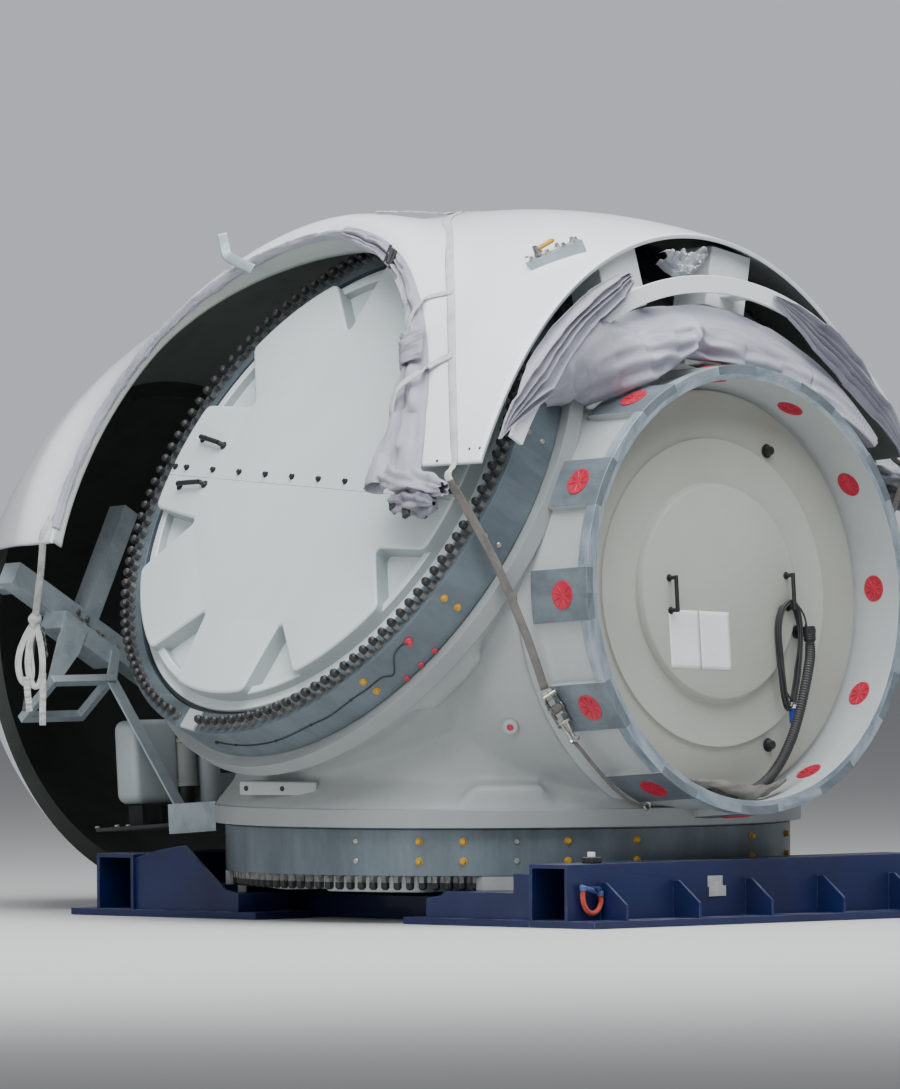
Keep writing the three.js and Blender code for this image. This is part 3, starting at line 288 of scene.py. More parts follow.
def paint(name, colour, patch, rough=0.5, metal=0.0, coat=0.0, size=1.2, amount=0.5, speckle=0.08,
          streak=None, dust=0.0, edge=None, grain=(70.0, 0.2, 0.002), weave=None, sheen=0.0):
    """A finish: base colour with patches, and on top of it streaks, dust, rubbed edges, grain or weave.

    Every colour is given as screen values.
    streak is a colour, across and along; edge a colour, width and amount; grain a size, depth and height.
    """
    material = bpy.data.materials.new(name)
    material.use_nodes = True
    tree = material.node_tree
    shader = tree.nodes["Principled BSDF"]
    tone = use(tree, cloudy, {"Colour": screen(*colour), "Patch Colour": screen(*patch), "Size": size,
                              "Amount": amount, "Speckle": speckle})
    shade = tone["Colour"]
    unrolled = put(tree, "ShaderNodeUVMap", uv_map="along").outputs["UV"]
    if streak:
        mask = use(tree, streaky, {"Vector": unrolled, "Across": streak[1], "Along": streak[2]})["Mask"]
        shade = mix(tree, mask, shade, screen(*streak[0]))
    if dust:
        settled = use(tree, dusty, {"Amount": dust})["Mask"]
        shade = mix(tree, settled, shade, screen(*DUST_COLOUR))
    if edge:
        worn = use(tree, rubbed, {"Width": edge[1], "Amount": edge[2]})["Mask"]
        shade = mix(tree, worn, shade, screen(*edge[0]))
    tree.links.new(shade, shader.inputs["Base Color"])
    gloss = put(tree, "ShaderNodeMapRange",
                {"Value": tone["Mask"], "To Min": rough, "To Max": min(rough + 0.18, 1)})
    tree.links.new(gloss.outputs["Result"], shader.inputs["Roughness"])
    shader.inputs["Metallic"].default_value = metal
    shader.inputs["Coat Weight"].default_value = coat
    shader.inputs["Sheen Weight"].default_value = sheen
    height = use(tree, grainy, {"Size": grain[0], "Depth": grain[1]})["Height"]
    if weave:
        threads = use(tree, woven, {"Vector": unrolled, "Threads": weave})["Height"]
        height = maths(tree, "ADD", height, threads)
    bump = put(tree, "ShaderNodeBump", {"Height": height, "Distance": grain[2]})
    tree.links.new(bump.outputs["Normal"], shader.inputs["Normal"])
    return material


print("paint builder ready")

# %% The materials
cast_paint = paint("cast_paint", (158, 163, 163), (134, 139, 140), rough=0.42, size=0.9, amount=0.55,
                   speckle=0.18, dust=0.2, grain=(24.0, 0.6, 0.004))
# The flange rims get a darker copy of the casting's paint: painted shade on the rims.
shaded_rim_paint = paint("shaded_rim_paint", (150, 155, 156), (134, 139, 141), rough=0.38, size=1.4)
machined_paint = paint("machined_paint", (168, 173, 173), (150, 155, 156), rough=0.38, size=1.4)
ring_steel = paint("ring_steel", (94, 105, 112), (78, 88, 95), rough=0.42, metal=0.25, size=1.6,
                   amount=0.6, streak=((106, 118, 126), 5.0, 1.2), grain=(120.0, 0.1, 0.001))
race_steel = paint("race_steel", (96, 101, 104), (78, 82, 86), rough=0.36, metal=0.5, size=3.0)
plate_paint = paint("plate_paint", (208, 217, 218), (190, 200, 202), rough=0.4, size=0.7, speckle=0.04,
                    grain=(30.0, 0.25, 0.002))
pocket_paint = paint("pocket_paint", (176, 181, 181), (156, 161, 162), rough=0.45, size=2.0)
face_steel = paint("face_steel", (134, 148, 158), (108, 122, 134), rough=0.36, metal=0.35, size=3.0,
                   amount=0.7, streak=((170, 182, 190), 4.0, 10.0), grain=(90.0, 0.2, 0.001))
pad_steel = paint("pad_steel", (106, 115, 122), (84, 93, 101), rough=0.42, metal=0.3, size=2.5,
                  streak=((124, 135, 143), 5.0, 3.0), grain=(90.0, 0.2, 0.001))
plug_plastic = paint("plug_plastic", (190, 44, 66), (150, 28, 48), rough=0.42, size=12.0)
cover_paint = paint("cover_paint", (178, 180, 171), (160, 162, 153), rough=0.6, size=1.0, speckle=0.05,
                    dust=0.15, grain=(40.0, 0.4, 0.002))
gelcoat = paint("gelcoat", (232, 237, 238), (214, 219, 218), rough=0.28, coat=0.25, size=0.8,
                speckle=0.03, grain=(10.0, 0.2, 0.002))
shell_inside = paint("shell_inside", (118, 126, 121), (98, 106, 101), rough=0.7, size=3.0,
                     grain=(60.0, 0.6, 0.003))
zinc = paint("zinc", (168, 180, 186), (138, 150, 157), rough=0.45, metal=0.3, size=7.0, amount=0.8,
             speckle=0.25, dust=0.2, edge=((180, 188, 192), 0.006, 0.5), grain=(60.0, 0.3, 0.001))
cabinet_paint = paint("cabinet_paint", (176, 184, 188), (156, 164, 168), rough=0.45, size=2.0, dust=0.2)
frame_paint = paint("frame_paint", (17, 30, 78), (12, 21, 58), rough=0.42, coat=0.1, size=2.0, amount=0.7,
                    speckle=0.2, dust=0.22, edge=((92, 106, 146), 0.008, 0.75), grain=(50.0, 0.3, 0.001))
black_plastic = paint("black_plastic", (30, 31, 32), (44, 45, 46), rough=0.5, size=14.0, dust=0.15)
stud_steel = paint("stud_steel", (128, 130, 128), (70, 70, 70), rough=0.4, metal=0.6, size=22.0,
                   amount=0.8)
yellow_plastic = paint("yellow_plastic", (196, 152, 40), (150, 112, 30), rough=0.5, size=18.0)
cable_rubber = paint("cable_rubber", (44, 45, 46), (62, 62, 64), rough=0.6, size=9.0, dust=0.2)
cloth = paint("cloth", (184, 184, 196), (160, 160, 174), rough=0.85, size=4.0, amount=0.6, speckle=0.1,
              weave=260.0, grain=(180.0, 0.3, 0.001))
WEBBING = {"weave": 420.0, "sheen": 0.2, "grain": (150.0, 0.3, 0.001)}
white_webbing = paint("white_webbing", (222, 223, 220), (186, 187, 184), rough=0.8, size=9.0, amount=0.7,
                      **WEBBING)
grey_webbing = paint("grey_webbing", (128, 124, 118), (96, 92, 88), rough=0.85, size=9.0, amount=0.8,
                     **WEBBING)
sling_webbing = paint("sling_webbing", (226, 72, 52), (176, 52, 40), rough=0.8, size=30.0, amount=0.7,
                      **WEBBING)
bright_steel = paint("bright_steel", (196, 194, 186), (120, 116, 108), rough=0.3, metal=0.9, size=30.0,
                     amount=0.8)
paper = paint("paper", (236, 238, 240), (222, 225, 230), rough=0.7, size=6.0)
blue_plastic = paint("blue_plastic", (24, 62, 178), (20, 48, 140), rough=0.4, size=20.0)
white_plastic = paint("white_plastic", (232, 234, 236), (212, 214, 216), rough=0.4, size=20.0)
grey_plastic = paint("grey_plastic", (150, 154, 152), (130, 134, 132), rough=0.6, size=8.0)
rubber = paint("rubber", (40, 40, 42), (58, 58, 58), rough=0.7, size=20.0, dust=0.3)
nose_inside = paint("nose_inside", (66, 71, 68), (50, 55, 52), rough=0.8, size=3.0,
                    grain=(40.0, 0.5, 0.003))
# The plates' upright walls get a darker copy of the plate's paint: painted shade on the walls.
wall_shade_paint = paint("wall_shade_paint", (166, 175, 177), (148, 157, 160), rough=0.45, size=0.7)
print(len(bpy.data.materials), "materials")

# %% [markdown]
# ## Modelling helpers
# Many pieces here are turned, so the first helper spins a profile into a ring or a disc. The next one
# unrolls the surface into a UV map named "along", in metres round and metres along, which streaks and
# weave follow. `piece` makes the mesh an object that rides on a body of the solid model.

# %% Lathe and piece helpers


def lathe(profile, steps=192, arc=360.0, start=0.0):
    """Spins a closed profile of (radius, height) corners about Z."""
    bm = bmesh.new()
    corners = [bm.verts.new((radius, 0, height)) for radius, height in profile]
    edges = [bm.edges.new(pair) for pair in zip(corners, corners[1:] + corners[:1])
             if pair[0].co.x > 1e-6 or pair[1].co.x > 1e-6]
    bmesh.ops.rotate(bm, verts=corners, cent=(0, 0, 0), matrix=Matrix.Rotation(math.radians(start), 3, "Z"))
    if arc == 360.0:
        bmesh.ops.spin(bm, geom=corners + edges, cent=(0, 0, 0), axis=(0, 0, 1), angle=math.tau, steps=steps,
                       use_merge=True)
    else:
        face = bm.faces.new(corners)
        bmesh.ops.spin(bm, geom=[face], cent=(0, 0, 0), axis=(0, 0, 1), angle=math.radians(arc), steps=steps)
    bmesh.ops.remove_doubles(bm, verts=bm.verts, dist=1e-5)
    bmesh.ops.recalc_face_normals(bm, faces=bm.faces)
    return bm


def unroll(bm):
    """A UV map round and along Z, in metres."""
    layer = bm.loops.layers.uv.get("along") or bm.loops.layers.uv.new("along")
    for face in bm.faces:
        middle = face.calc_center_median()
        turn = math.atan2(middle.y, middle.x)
        for loop in face.loops:
            x, y, z = loop.vert.co
            radius = math.hypot(x, y)
            away = math.remainder(math.atan2(y, x) - turn, math.tau)
            flat = abs(face.normal.z) > 0.7
            loop[layer].uv = ((turn + away) * max(radius, 0.2), radius if flat else z)


def mesh_of(name, bm):
    """Ends the editing of a shape and makes it a mesh."""
    mesh = bpy.data.meshes.new(name)
    bm.to_mesh(mesh)
    bm.free()
    return mesh


def piece(name, bm, finishes, place=WORLD, body="frame", replaces=(), crease=32):
    """Places a mesh, makes it an object with its finishes and lets it ride on a body."""
    if not bm.loops.layers.uv:
        unroll(bm)
    bmesh.ops.transform(bm, matrix=place, verts=bm.verts)
    mesh = mesh_of(name, bm)
    mesh.shade_smooth()
    mesh.set_sharp_from_angle(angle=math.radians(crease))
    made = new_object(name, mesh)
    for finish in finishes if isinstance(finishes, (list, tuple)) else [finishes]:
        mesh.materials.append(finish)
    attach(made, body)
    if replaces:
        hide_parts(*replaces)
    return made


def soften(made, width, segments=2, angle=35):
    """A live Bevel modifier: small rounded edges that catch the light."""
    bevel = made.modifiers.new("Bevel", "BEVEL")
    bevel.width, bevel.segments, bevel.limit_method = width, segments, "ANGLE"
    bevel.angle_limit, bevel.harden_normals = math.radians(angle), True
    return made


def settle(made):
    """Applies a piece's modifiers, so that its final mesh is what is kept."""
    graph = bpy.context.evaluated_depsgraph_get()
    mesh = bpy.data.meshes.new_from_object(made.evaluated_get(graph), preserve_all_data_layers=True,
                                           depsgraph=graph)
    made.modifiers.clear()
    made.data = mesh
    return made


print("modelling helpers ready")

# %% More helpers: boxes, rods, flat pieces and smooth lines


def eased(low, high, value):
    """How far a value has come from low to high, with a soft start and end."""
    share = min(max((value - low) / (high - low), 0), 1)
    return share * share * (3 - 2 * share)


def add_box(bm, low, high, place=WORLD):
    """Adds a box between two corners."""
    size = Vector(high) - Vector(low)
    matrix = place @ Matrix.Translation((Vector(high) + Vector(low)) / 2) @ Matrix.Diagonal((*size, 1))
    return bmesh.ops.create_cube(bm, size=1, matrix=matrix)["verts"]


def torus(radius, thickness, sides, steps):
    """A round ring of round wire about Z."""
    turns = [step * math.tau / sides for step in range(sides)]
    return lathe([(radius + thickness * math.cos(turn), thickness * math.sin(turn)) for turn in turns], steps)


def add_rod(bm, start, end, radius, sides=16, end_radius=None):
    """Adds a round rod, or a cone, from one point to another."""
    start, end = Vector(start), Vector(end)
    along = end - start
    matrix = Matrix.Translation((start + end) / 2) @ along.to_track_quat("Z", "Y").to_matrix().to_4x4()
    return bmesh.ops.create_cone(bm, cap_ends=True, segments=sides, radius1=radius,
                                 radius2=radius if end_radius is None else end_radius,
                                 depth=along.length, matrix=matrix)["verts"]


def add_plate(bm, corners, thickness):
    """Adds a flat plate: its outline is filled and pushed up by its thickness along Z."""
    face = bm.faces.new([bm.verts.new((x, y, 0)) for x, y in corners])
    bmesh.ops.recalc_face_normals(bm, faces=[face])
    pushed = bmesh.ops.extrude_face_region(bm, geom=[face])["geom"]
    moved = [part for part in pushed if isinstance(part, bmesh.types.BMVert)]
    bmesh.ops.translate(bm, verts=moved, vec=(0, 0, thickness))
    bmesh.ops.recalc_face_normals(bm, faces=bm.faces)


def smooth_line(points, count):
    """A smooth line through the points, cut into equal steps."""
    points = [Vector(point) for point in points]
    points = [2 * points[0] - points[1], *points, 2 * points[-1] - points[-2]]
    fine = []
    for before, first, second, after in zip(points, points[1:], points[2:], points[3:]):
        for step in range(24):
            t = step / 24
            fine.append(0.5 * (2 * first + (second - before) * t
                               + (2 * before - 5 * first + 4 * second - after) * t ** 2
                               + (3 * first - before - 3 * second + after) * t ** 3))
    fine.append(points[-2])
    run = [0.0]
    for first, second in zip(fine, fine[1:]):
        run.append(run[-1] + (second - first).length)
    line, place = [], 0
    for step in range(count):
        want = run[-1] * step / (count - 1)
        while place < len(run) - 2 and run[place + 1] < want:
            place += 1
        share = (want - run[place]) / max(run[place + 1] - run[place], 1e-9)
        line.append(fine[place].lerp(fine[place + 1], min(max(share, 0), 1)))
    return line


def length_of(points):
    """The length of a line."""
    return sum((second - first).length for first, second in zip(points, points[1:]))


def sheet_grid(wide, long, shape):
    """A grid of wide x long faces, with each corner moved to shape(u, v), and a UV map from the same u, v."""
    bm = bmesh.new()
    layer = bm.loops.layers.uv.new("along")
    bmesh.ops.create_grid(bm, x_segments=wide, y_segments=long, size=0.5)
    flat = {corner: (corner.co.x + 0.5, corner.co.y + 0.5) for corner in bm.verts}
    for corner, (u, v) in flat.items():
        corner.co = shape(u, v)
    for face in bm.faces:
        for loop in face.loops:
            loop[layer].uv = flat[loop.vert]
    bmesh.ops.recalc_face_normals(bm, faces=bm.faces)
    return bm


def closed(bm):
    """Closes a grid that was wrapped into a tube, and turns its faces outwards."""
    bmesh.ops.remove_doubles(bm, verts=bm.verts, dist=1e-4)
    bmesh.ops.recalc_face_normals(bm, faces=bm.faces)
    return bm


def scale_uv(bm, across, along):
    """Turns a grid's UV map from shares into metres."""
    layer = bm.loops.layers.uv["along"]
    for face in bm.faces:
        for loop in face.loops:
            loop[layer].uv = (loop[layer].uv[0] * across, loop[layer].uv[1] * along)


def thicken(made, thickness, offset=0.0):
    """A live Solidify modifier gives a sheet its thickness."""
    solid = made.modifiers.new("Thickness", "SOLIDIFY")
    solid.thickness, solid.offset, solid.use_even_offset = thickness, offset, False
    return made


print("line and sheet helpers ready")

# %% [markdown]
# ## The cords
# A ribbed hose comes out of a black elbow on the shaft cover and lies down into the collar. A thin black
# lead leaves the same elbow and hangs in loops over the right handle, with its connector at the bottom.
# Both are drawn as curves through the points of the solid model, so they lie exactly where the solids
# are.

# %% The hose's line
HOSE_RADIUS, RIB_DEPTH = 0.027, 0.0045
hose_points = [ROTOR @ Vector(point) for point in (
    (0.582, -1.618, -0.263), (0.582, -1.618, -0.290), (0.566, -1.631, -0.340), (0.530, -1.648, -0.412),
    (0.479, -1.660, -0.529), (0.437, -1.662, -0.630), (0.386, -1.664, -0.732), (0.338, -1.664, -0.807),
    (0.275, -1.664, -0.886), (0.200, -1.664, -0.953), (0.105, -1.664, -1.006), (0.010, -1.664, -1.032),
    (-0.095, -1.664, -1.040), (-0.215, -1.664, -1.022))]
hose_line = smooth_line(hose_points, 40)
print("hose:", round(length_of(hose_line), 3), "m long")

# %% The ribbed hose
# A small ring of corners is extruded along the line, two rings wide and two rings narrow by turns, which
# gives the ribs of a corrugated hose.


def tube(line, radius_at, sides):
    """Extrudes a ring of corners along a line; radius_at(i) gives the radius at each point."""
    bm = bmesh.new()
    ring = bmesh.ops.create_circle(bm, segments=sides, radius=1)["verts"]
    bm.faces.new(ring)
    unit = [corner.co.copy() for corner in ring]
    side = Vector((0, 0, 1))
    for index, point in enumerate(line):
        if index:
            edges = {edge for corner in ring for edge in corner.link_edges
                     if all(end in ring for end in edge.verts)}
            made = bmesh.ops.extrude_edge_only(bm, edges=list(edges))["geom"]
            new = [part for part in made if isinstance(part, bmesh.types.BMVert)]
            nearest = {}
            for corner in new:
                old = next(edge.other_vert(corner) for edge in corner.link_edges
                           if edge.other_vert(corner) in ring)
                nearest[old] = corner
            ring = [nearest[corner] for corner in ring]
        before, after = line[max(index - 1, 0)], line[min(index + 1, len(line) - 1)]
        along = (after - before).normalized()
        side = (side - along * side.dot(along)).normalized()
        other = along.cross(side)
        for corner, flat in zip(ring, unit):
            corner.co = point + (side * flat.x + other * flat.y) * radius_at(index)
    bm.faces.new(ring)
    bmesh.ops.recalc_face_normals(bm, faces=bm.faces)
    return bm


ribs = smooth_line(hose_points, 360)
hose = piece("ribbed_hose", tube(ribs, lambda i: HOSE_RADIUS - (0.0 if i % 4 < 2 else RIB_DEPTH), 20),
             cable_rubber, replaces=["hose"], crease=60)
print("hose:", len(hose.data.polygons), "faces")

# %% The lead's loops
# One turn is a drop shape. Each next turn moves over to the next free lane, lanes side by side, so
# that no two turns ever cross through each other. The last turn stops at the bottom, by the plug.
LEAD_RADIUS, TURN_POINTS, MISSED_POINTS, LAST_TURN_END = 0.005, 60, 3, 0.43
loop_outline = [(0.475, -0.052), (0.446, -0.062), (0.412, -0.090), (0.386, -0.143), (0.374, -0.215),
                (0.378, -0.330), (0.386, -0.450), (0.396, -0.545), (0.414, -0.602), (0.436, -0.612),
                (0.458, -0.590), (0.480, -0.530), (0.505, -0.440), (0.526, -0.330), (0.541, -0.210),
                (0.537, -0.143), (0.525, -0.094), (0.504, -0.062)]
one_turn = smooth_line([(x, 0, z) for x, z in loop_outline + loop_outline[:1]], TURN_POINTS + 1)[:-1]
inwards = []
for index in range(TURN_POINTS):
    along = (one_turn[(index + 1) % TURN_POINTS] - one_turn[index - 1]).normalized()
    inwards.append(Vector((-along.z, 0, along.x)))
# each lane: how far inside the first turn, and its Y
lanes = [(0.0, -1.584), (0.0125, -1.584), (0.0125, -1.596), (0.0, -1.596), (0.0, -1.6085), (0.0125, -1.6085)]
turns = len(lanes)
lead_points = [Vector(spot) for spot in (
    (0.572, -1.606, -0.1855), (0.572, -1.606, -0.160), (0.560, -1.602, -0.120), (0.534, -1.594, -0.080),
    (0.505, -1.588, -0.056))]
joint = len(lead_points) + 6
for turn, (lane, following) in enumerate(zip(lanes, lanes[1:] + lanes[-1:])):
    change = 0.86 - 0.13 * turn
    for index, point in enumerate(one_turn):
        t = index / TURN_POINTS
        if turn == turns - 1 and t > LAST_TURN_END:
            break
        if turn > 0 or index >= MISSED_POINTS:
            share = eased(change - 0.05, change + 0.05, t)
            inset = lane[0] + (following[0] - lane[0]) * share
            depth = lane[1] + (following[1] - lane[1]) * share
            lead_points.append(point + inwards[index] * inset + Vector((0, depth, 0)))
lead_points[-2:] = smooth_line([*lead_points[-2:], (0.438, -1.602, -0.553), (0.4545, -1.598, -0.560),
                                (0.458, -1.597, -0.5735)], 12)
lead_points[:joint] = smooth_line(lead_points[:joint], 24)
lead_line = [ROTOR @ point for point in lead_points]
lead = piece("lead", tube(lead_line, lambda i: LEAD_RADIUS, 10), cable_rubber,
             replaces=["lead_hank"], crease=60)
print("lead:", turns, "turns,", round(length_of(lead_line), 2), "m long")

# %% The connector at the lead's end
bm = lathe([(0, 0), (0.013, 0), (0.0135, -0.012), (0.021, -0.014), (0.022, -0.030), (0.022, -0.104),
            (0.019, -0.1065), (0, -0.1065)], 32)
bmesh.ops.bevel(bm, geom=[edge for edge in bm.edges if edge.is_manifold and edge.calc_face_angle(0) > 0.6],
                offset=0.0015, segments=2, profile=0.5, affect="EDGES", material=-1)
for face in bm.faces:
    face.material_index = 0 if face.calc_center_median().z > -0.034 else 1
connector = piece("lead_plug", bm, [white_plastic, blue_plastic],
                  ROTOR @ Matrix.Translation((0.458, -1.597, -0.5734)),
                  replaces=["lead_connector"])
end = ROTOR.inverted() @ hose_line[-1]
back = (ROTOR.inverted() @ hose_line[-2] - end).normalized()
bm = bmesh.new()
add_rod(bm, end + back * 0.030, end - back * 0.012, 0.0295, 36)
add_rod(bm, end - back * 0.012, end - back * 0.030, 0.0255, 36)
coupling = soften(piece("hose_coupling", bm, black_plastic, ROTOR), 0.002)
print("cords declared")

# %% [markdown]
# ## The elbow on the cover
# A round foot, a round body and a thicker mouth for the hose with three ribs round it, and a small
# sleeve for the lead. They are plain rods in one mesh, and a Bevel modifier rounds their edges.

# %% Elbow
ELBOW_X, ELBOW_Z, MOUTH_Y = 0.582, -0.211, -1.618
bm = bmesh.new()
add_rod(bm, (ELBOW_X, -1.5264, ELBOW_Z), (ELBOW_X, -1.540, ELBOW_Z), 0.036, 40)
add_rod(bm, (ELBOW_X, -1.536, ELBOW_Z), (ELBOW_X, -1.642, ELBOW_Z), 0.0255, 40)
add_rod(bm, (ELBOW_X, MOUTH_Y, -0.187), (ELBOW_X, MOUTH_Y, -0.262), 0.0305, 40)
for height in (-0.226, -0.238, -0.250):
    add_rod(bm, (ELBOW_X, MOUTH_Y, height), (ELBOW_X, MOUTH_Y, height - 0.006), 0.0325, 40)
add_rod(bm, (0.572, -1.606, -0.190), (0.572, -1.606, -0.1715), 0.0085, 20, 0.006)
elbow = soften(piece("elbow_fitting", bm, black_plastic, ROTOR, replaces=["hose_gland"]),
               0.003)
print("elbow:", len(elbow.data.polygons), "faces")

# %% [markdown]
# ## The hub casting
# The real hub is one iron casting with soft fillets where the three bearing necks grow out of the body.
# The solid model has those necks with hard corners. A copy of it gets the small raised pads of the
# flanges, is remeshed in even squares and then smoothed, which rolls every corner into a cast fillet.
# Machined faces must stay crisp, so the flange rims are turned separately and laid over the soft body.

# %% Copy helpers


def solid_copy(node):
    """A welded copy of a solid of the model."""
    bm = bmesh.new()
    bm.from_mesh(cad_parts[node].data)
    bmesh.ops.remove_doubles(bm, verts=bm.verts, dist=1e-5)
    return bm


def join_flat(bm):
    """Joins triangles that lie in one plane."""
    bmesh.ops.dissolve_limit(bm, angle_limit=math.radians(0.5), verts=bm.verts, edges=bm.edges)


def halve_big_faces(bm):
    """Cuts faces of more than four corners into triangles, so that a plane can cut them cleanly."""
    bmesh.ops.triangulate(bm, faces=[face for face in bm.faces if len(face.verts) > 4])


def cut_off(bm, spot, normal):
    """Cuts a mesh by a plane, drops the side its normal points to and closes the cut."""
    cut = bmesh.ops.bisect_plane(bm, geom=bm.verts[:] + bm.edges[:] + bm.faces[:], plane_co=spot,
                                 plane_no=normal, clear_outer=True)["geom_cut"]
    bmesh.ops.holes_fill(bm, edges=[part for part in cut if isinstance(part, bmesh.types.BMEdge)], sides=0)


def short_copy(node, spot, normal, place=WORLD):
    """A copy of a solid in the coordinates of a place, cut off by a plane."""
    bm = solid_copy(node)
    bmesh.ops.transform(bm, matrix=place.inverted(), verts=bm.verts)
    join_flat(bm)
    halve_big_faces(bm)
    cut_off(bm, spot, normal)
    join_flat(bm)
    return bm


def add_shape(bm, other, place=WORLD):
    """Adds a second shape to a mesh."""
    mesh = mesh_of("shape", other)
    mesh.transform(place)
    bm.from_mesh(mesh)
    bpy.data.meshes.remove(mesh)


def face_angle(alpha):
    """Turns an angle counted from the nose side of a bearing into the lathe's angle."""
    return 90.0 - alpha


def ring_spot(alpha, radius, height=0.0):
    """A point of a bearing, by its angle from the nose side, its radius and its height."""
    angle = math.radians(alpha)
    return Vector((radius * math.sin(angle), radius * math.cos(angle), height))


print("casting starts from", len(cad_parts["hub_casting"].data.polygons), "triangles")

# %% Casting with its raised pads
bm = solid_copy("hub_casting")
for side in BEARINGS:
    for alpha in (136, 224):
        pad = lathe([(1.34, 0.858), (1.494, 0.858), (1.500, 0.995), (1.34, 0.995)], 8, 22,
                    face_angle(alpha) - 11)
        middle = math.radians(face_angle(alpha))
        for corner in pad.verts:
            if corner.co.z < 0.9:
                away = math.remainder(math.atan2(corner.co.y, corner.co.x) - middle, math.tau)
                corner.co = Matrix.Rotation(-0.42 * away, 3, "Z") @ corner.co
        add_shape(bm, pad, BEARINGS[side])
casting = piece("casting", bm, cast_paint, replaces=["hub_casting"])
remesh = casting.modifiers.new("Even squares", "REMESH")
remesh.mode, remesh.voxel_size, remesh.use_smooth_shade = "VOXEL", 0.0225, True
rounding = casting.modifiers.new("Cast fillets", "SMOOTH")
rounding.factor, rounding.iterations = 0.5, 9
settle(casting)
casting.data.shade_smooth()
print("casting:", sum(len(face.vertices) - 2 for face in casting.data.polygons), "triangles")

# %% Flange rims
# The rims take the darker rim paint, which is painted shade.
for side, place in BEARINGS.items():
    rim = lathe([(1.400, 0.990), (1.508, 0.990), (1.512, 0.994), (1.512, 1.0846), (1.400, 1.0846)], 240)
    soften(piece(f"flange_rim_{side}", rim, shaded_rim_paint, place), 0.004)
print("three flange rims")

# %% [markdown]
# ## The blade bearings
# Each bearing has a fixed outer ring, a turning inner ring and a circle of studs. Every stud carries a
# grey nut with a black cap on it. One stud is modelled and the spin operator copies it round the circle.
# A flat clamp block lies over the circle on each ring, and the studs under it are taken out.

# %% Rings
for side, place in BEARINGS.items():
    ring = lathe([(1.21, 1.0854), (1.446, 1.0854), (1.446, 1.094), (1.455, 1.094), (1.455, 1.33),
                  (1.337, 1.33), (1.337, 1.11), (1.21, 1.11)], 240)
    soften(piece(f"bearing_ring_{side}", ring, ring_steel, place,
                 replaces=[f"bearing_outer_ring_{side}"]), 0.003)
    race = lathe([(1.15, 1.1104), (1.332, 1.1104), (1.332, 1.299), (1.15, 1.299)], 240)
    soften(piece(f"bearing_race_{side}", race, race_steel, place, BODIES[side],
                 replaces=[f"bearing_inner_ring_{side}"]), 0.003)
print("six bearing rings")

# %% Studs with their caps
RING_RADIUS, RING_FACE = 1.455, 1.3304
STUDS, STUD_CIRCLE, WASHER_TOP, NUT_TOP, CAP_TOP = 128, 1.402, 1.336, 1.366, 1.393


def ring_of(shape, count):
    """Copies a shape round the Z axis."""
    bmesh.ops.spin(shape, geom=shape.verts[:] + shape.edges[:] + shape.faces[:], cent=(0, 0, 0),
                   axis=(0, 0, 1), angle=math.tau * (count - 1) / count, steps=count - 1, use_duplicate=True)
    return shape


CLAMPS = {"left": (-1.784, 0.428, 1.061), "right": (1.784, 0.428, 1.061), "bottom": (-0.98, 0.95, 0.2)}


def without_clamped(shape, side):
    """Takes out the studs that a clamp covers."""
    pitch = math.tau / STUDS
    reach = 2 if side == "bottom" else 1
    local = BEARINGS[side].inverted() @ Vector(CLAMPS[side])
    middle = round(math.atan2(local.y, local.x) / pitch)
    covered = {(middle + step) % STUDS for step in range(-reach, reach + 1)}
    gone = [corner for corner in shape.verts
            if round(math.atan2(corner.co.y, corner.co.x) / pitch) % STUDS in covered]
    bmesh.ops.delete(shape, geom=gone, context="VERTS")
    return shape


for side, place in BEARINGS.items():
    nut = bmesh.new()
    add_rod(nut, (STUD_CIRCLE, 0, RING_FACE), (STUD_CIRCLE, 0, WASHER_TOP), 0.029, 12)
    add_rod(nut, (STUD_CIRCLE, 0, WASHER_TOP), (STUD_CIRCLE, 0, NUT_TOP), 0.0245, 6, 0.0225)
    piece(f"stud_nuts_{side}", without_clamped(ring_of(nut, STUDS), side), stud_steel, place)
    cap = bmesh.new()
    add_rod(cap, (STUD_CIRCLE, 0, NUT_TOP), (STUD_CIRCLE, 0, CAP_TOP), 0.0225, 8)
    add_rod(cap, (STUD_CIRCLE, 0, CAP_TOP), (STUD_CIRCLE, 0, CAP_TOP + 0.011), 0.0225, 8, 0.012)
    piece(f"stud_caps_{side}", without_clamped(ring_of(cap, STUDS), side), black_plastic, place)
    clamp = bmesh.new()
    local = place.inverted() @ Vector(CLAMPS[side])
    turn = Matrix.Rotation(math.atan2(local.y, local.x), 4, "Z")
    half_wide, top = (0.095, 1.455) if side == "bottom" else (0.062, 1.352)
    add_box(clamp, (1.345, -half_wide, RING_FACE), (1.454, half_wide, top), turn)
    soften(piece(f"ring_clamp_{side}", clamp, machined_paint, place), 0.006, 3)
print(3 * STUDS, "places for studs, and three clamps over some of them")

# %% [markdown]
# ## Small things on the rings
# Yellow plugs close the grease holes in pairs, and red caps cover a few sensor holes. They are turned
# plugs, set on the ring by an angle round it and a height along it.

# %% Plugs on the rings
GREASE_HOLES = {
    "bottom": [118.1, 127.2, 148.3, 163.0, 195.0, 214.5], "left": [211.4, 235.5], "right": [148.6, 124.5]}
BLANK_HOLES = {"bottom": [104.0, 138.0], "left": [172.7, 196.5], "right": [187.3, 163.5]}


def ring_place(side, alpha, height):
    """A place on the outside of a ring, Z pointing outwards from it."""
    turn = turned(face_angle(alpha), "Z")
    return BEARINGS[side] @ turn @ Matrix.Translation((RING_RADIUS, 0, height)) @ turned(90, "Y")


def turned_plug(radius, proud):
    """A small plug with a rounded top."""
    return lathe([(0, -0.004), (radius, -0.004), (radius, proud * 0.6), (radius * 0.8, proud), (0, proud)],
                 20)


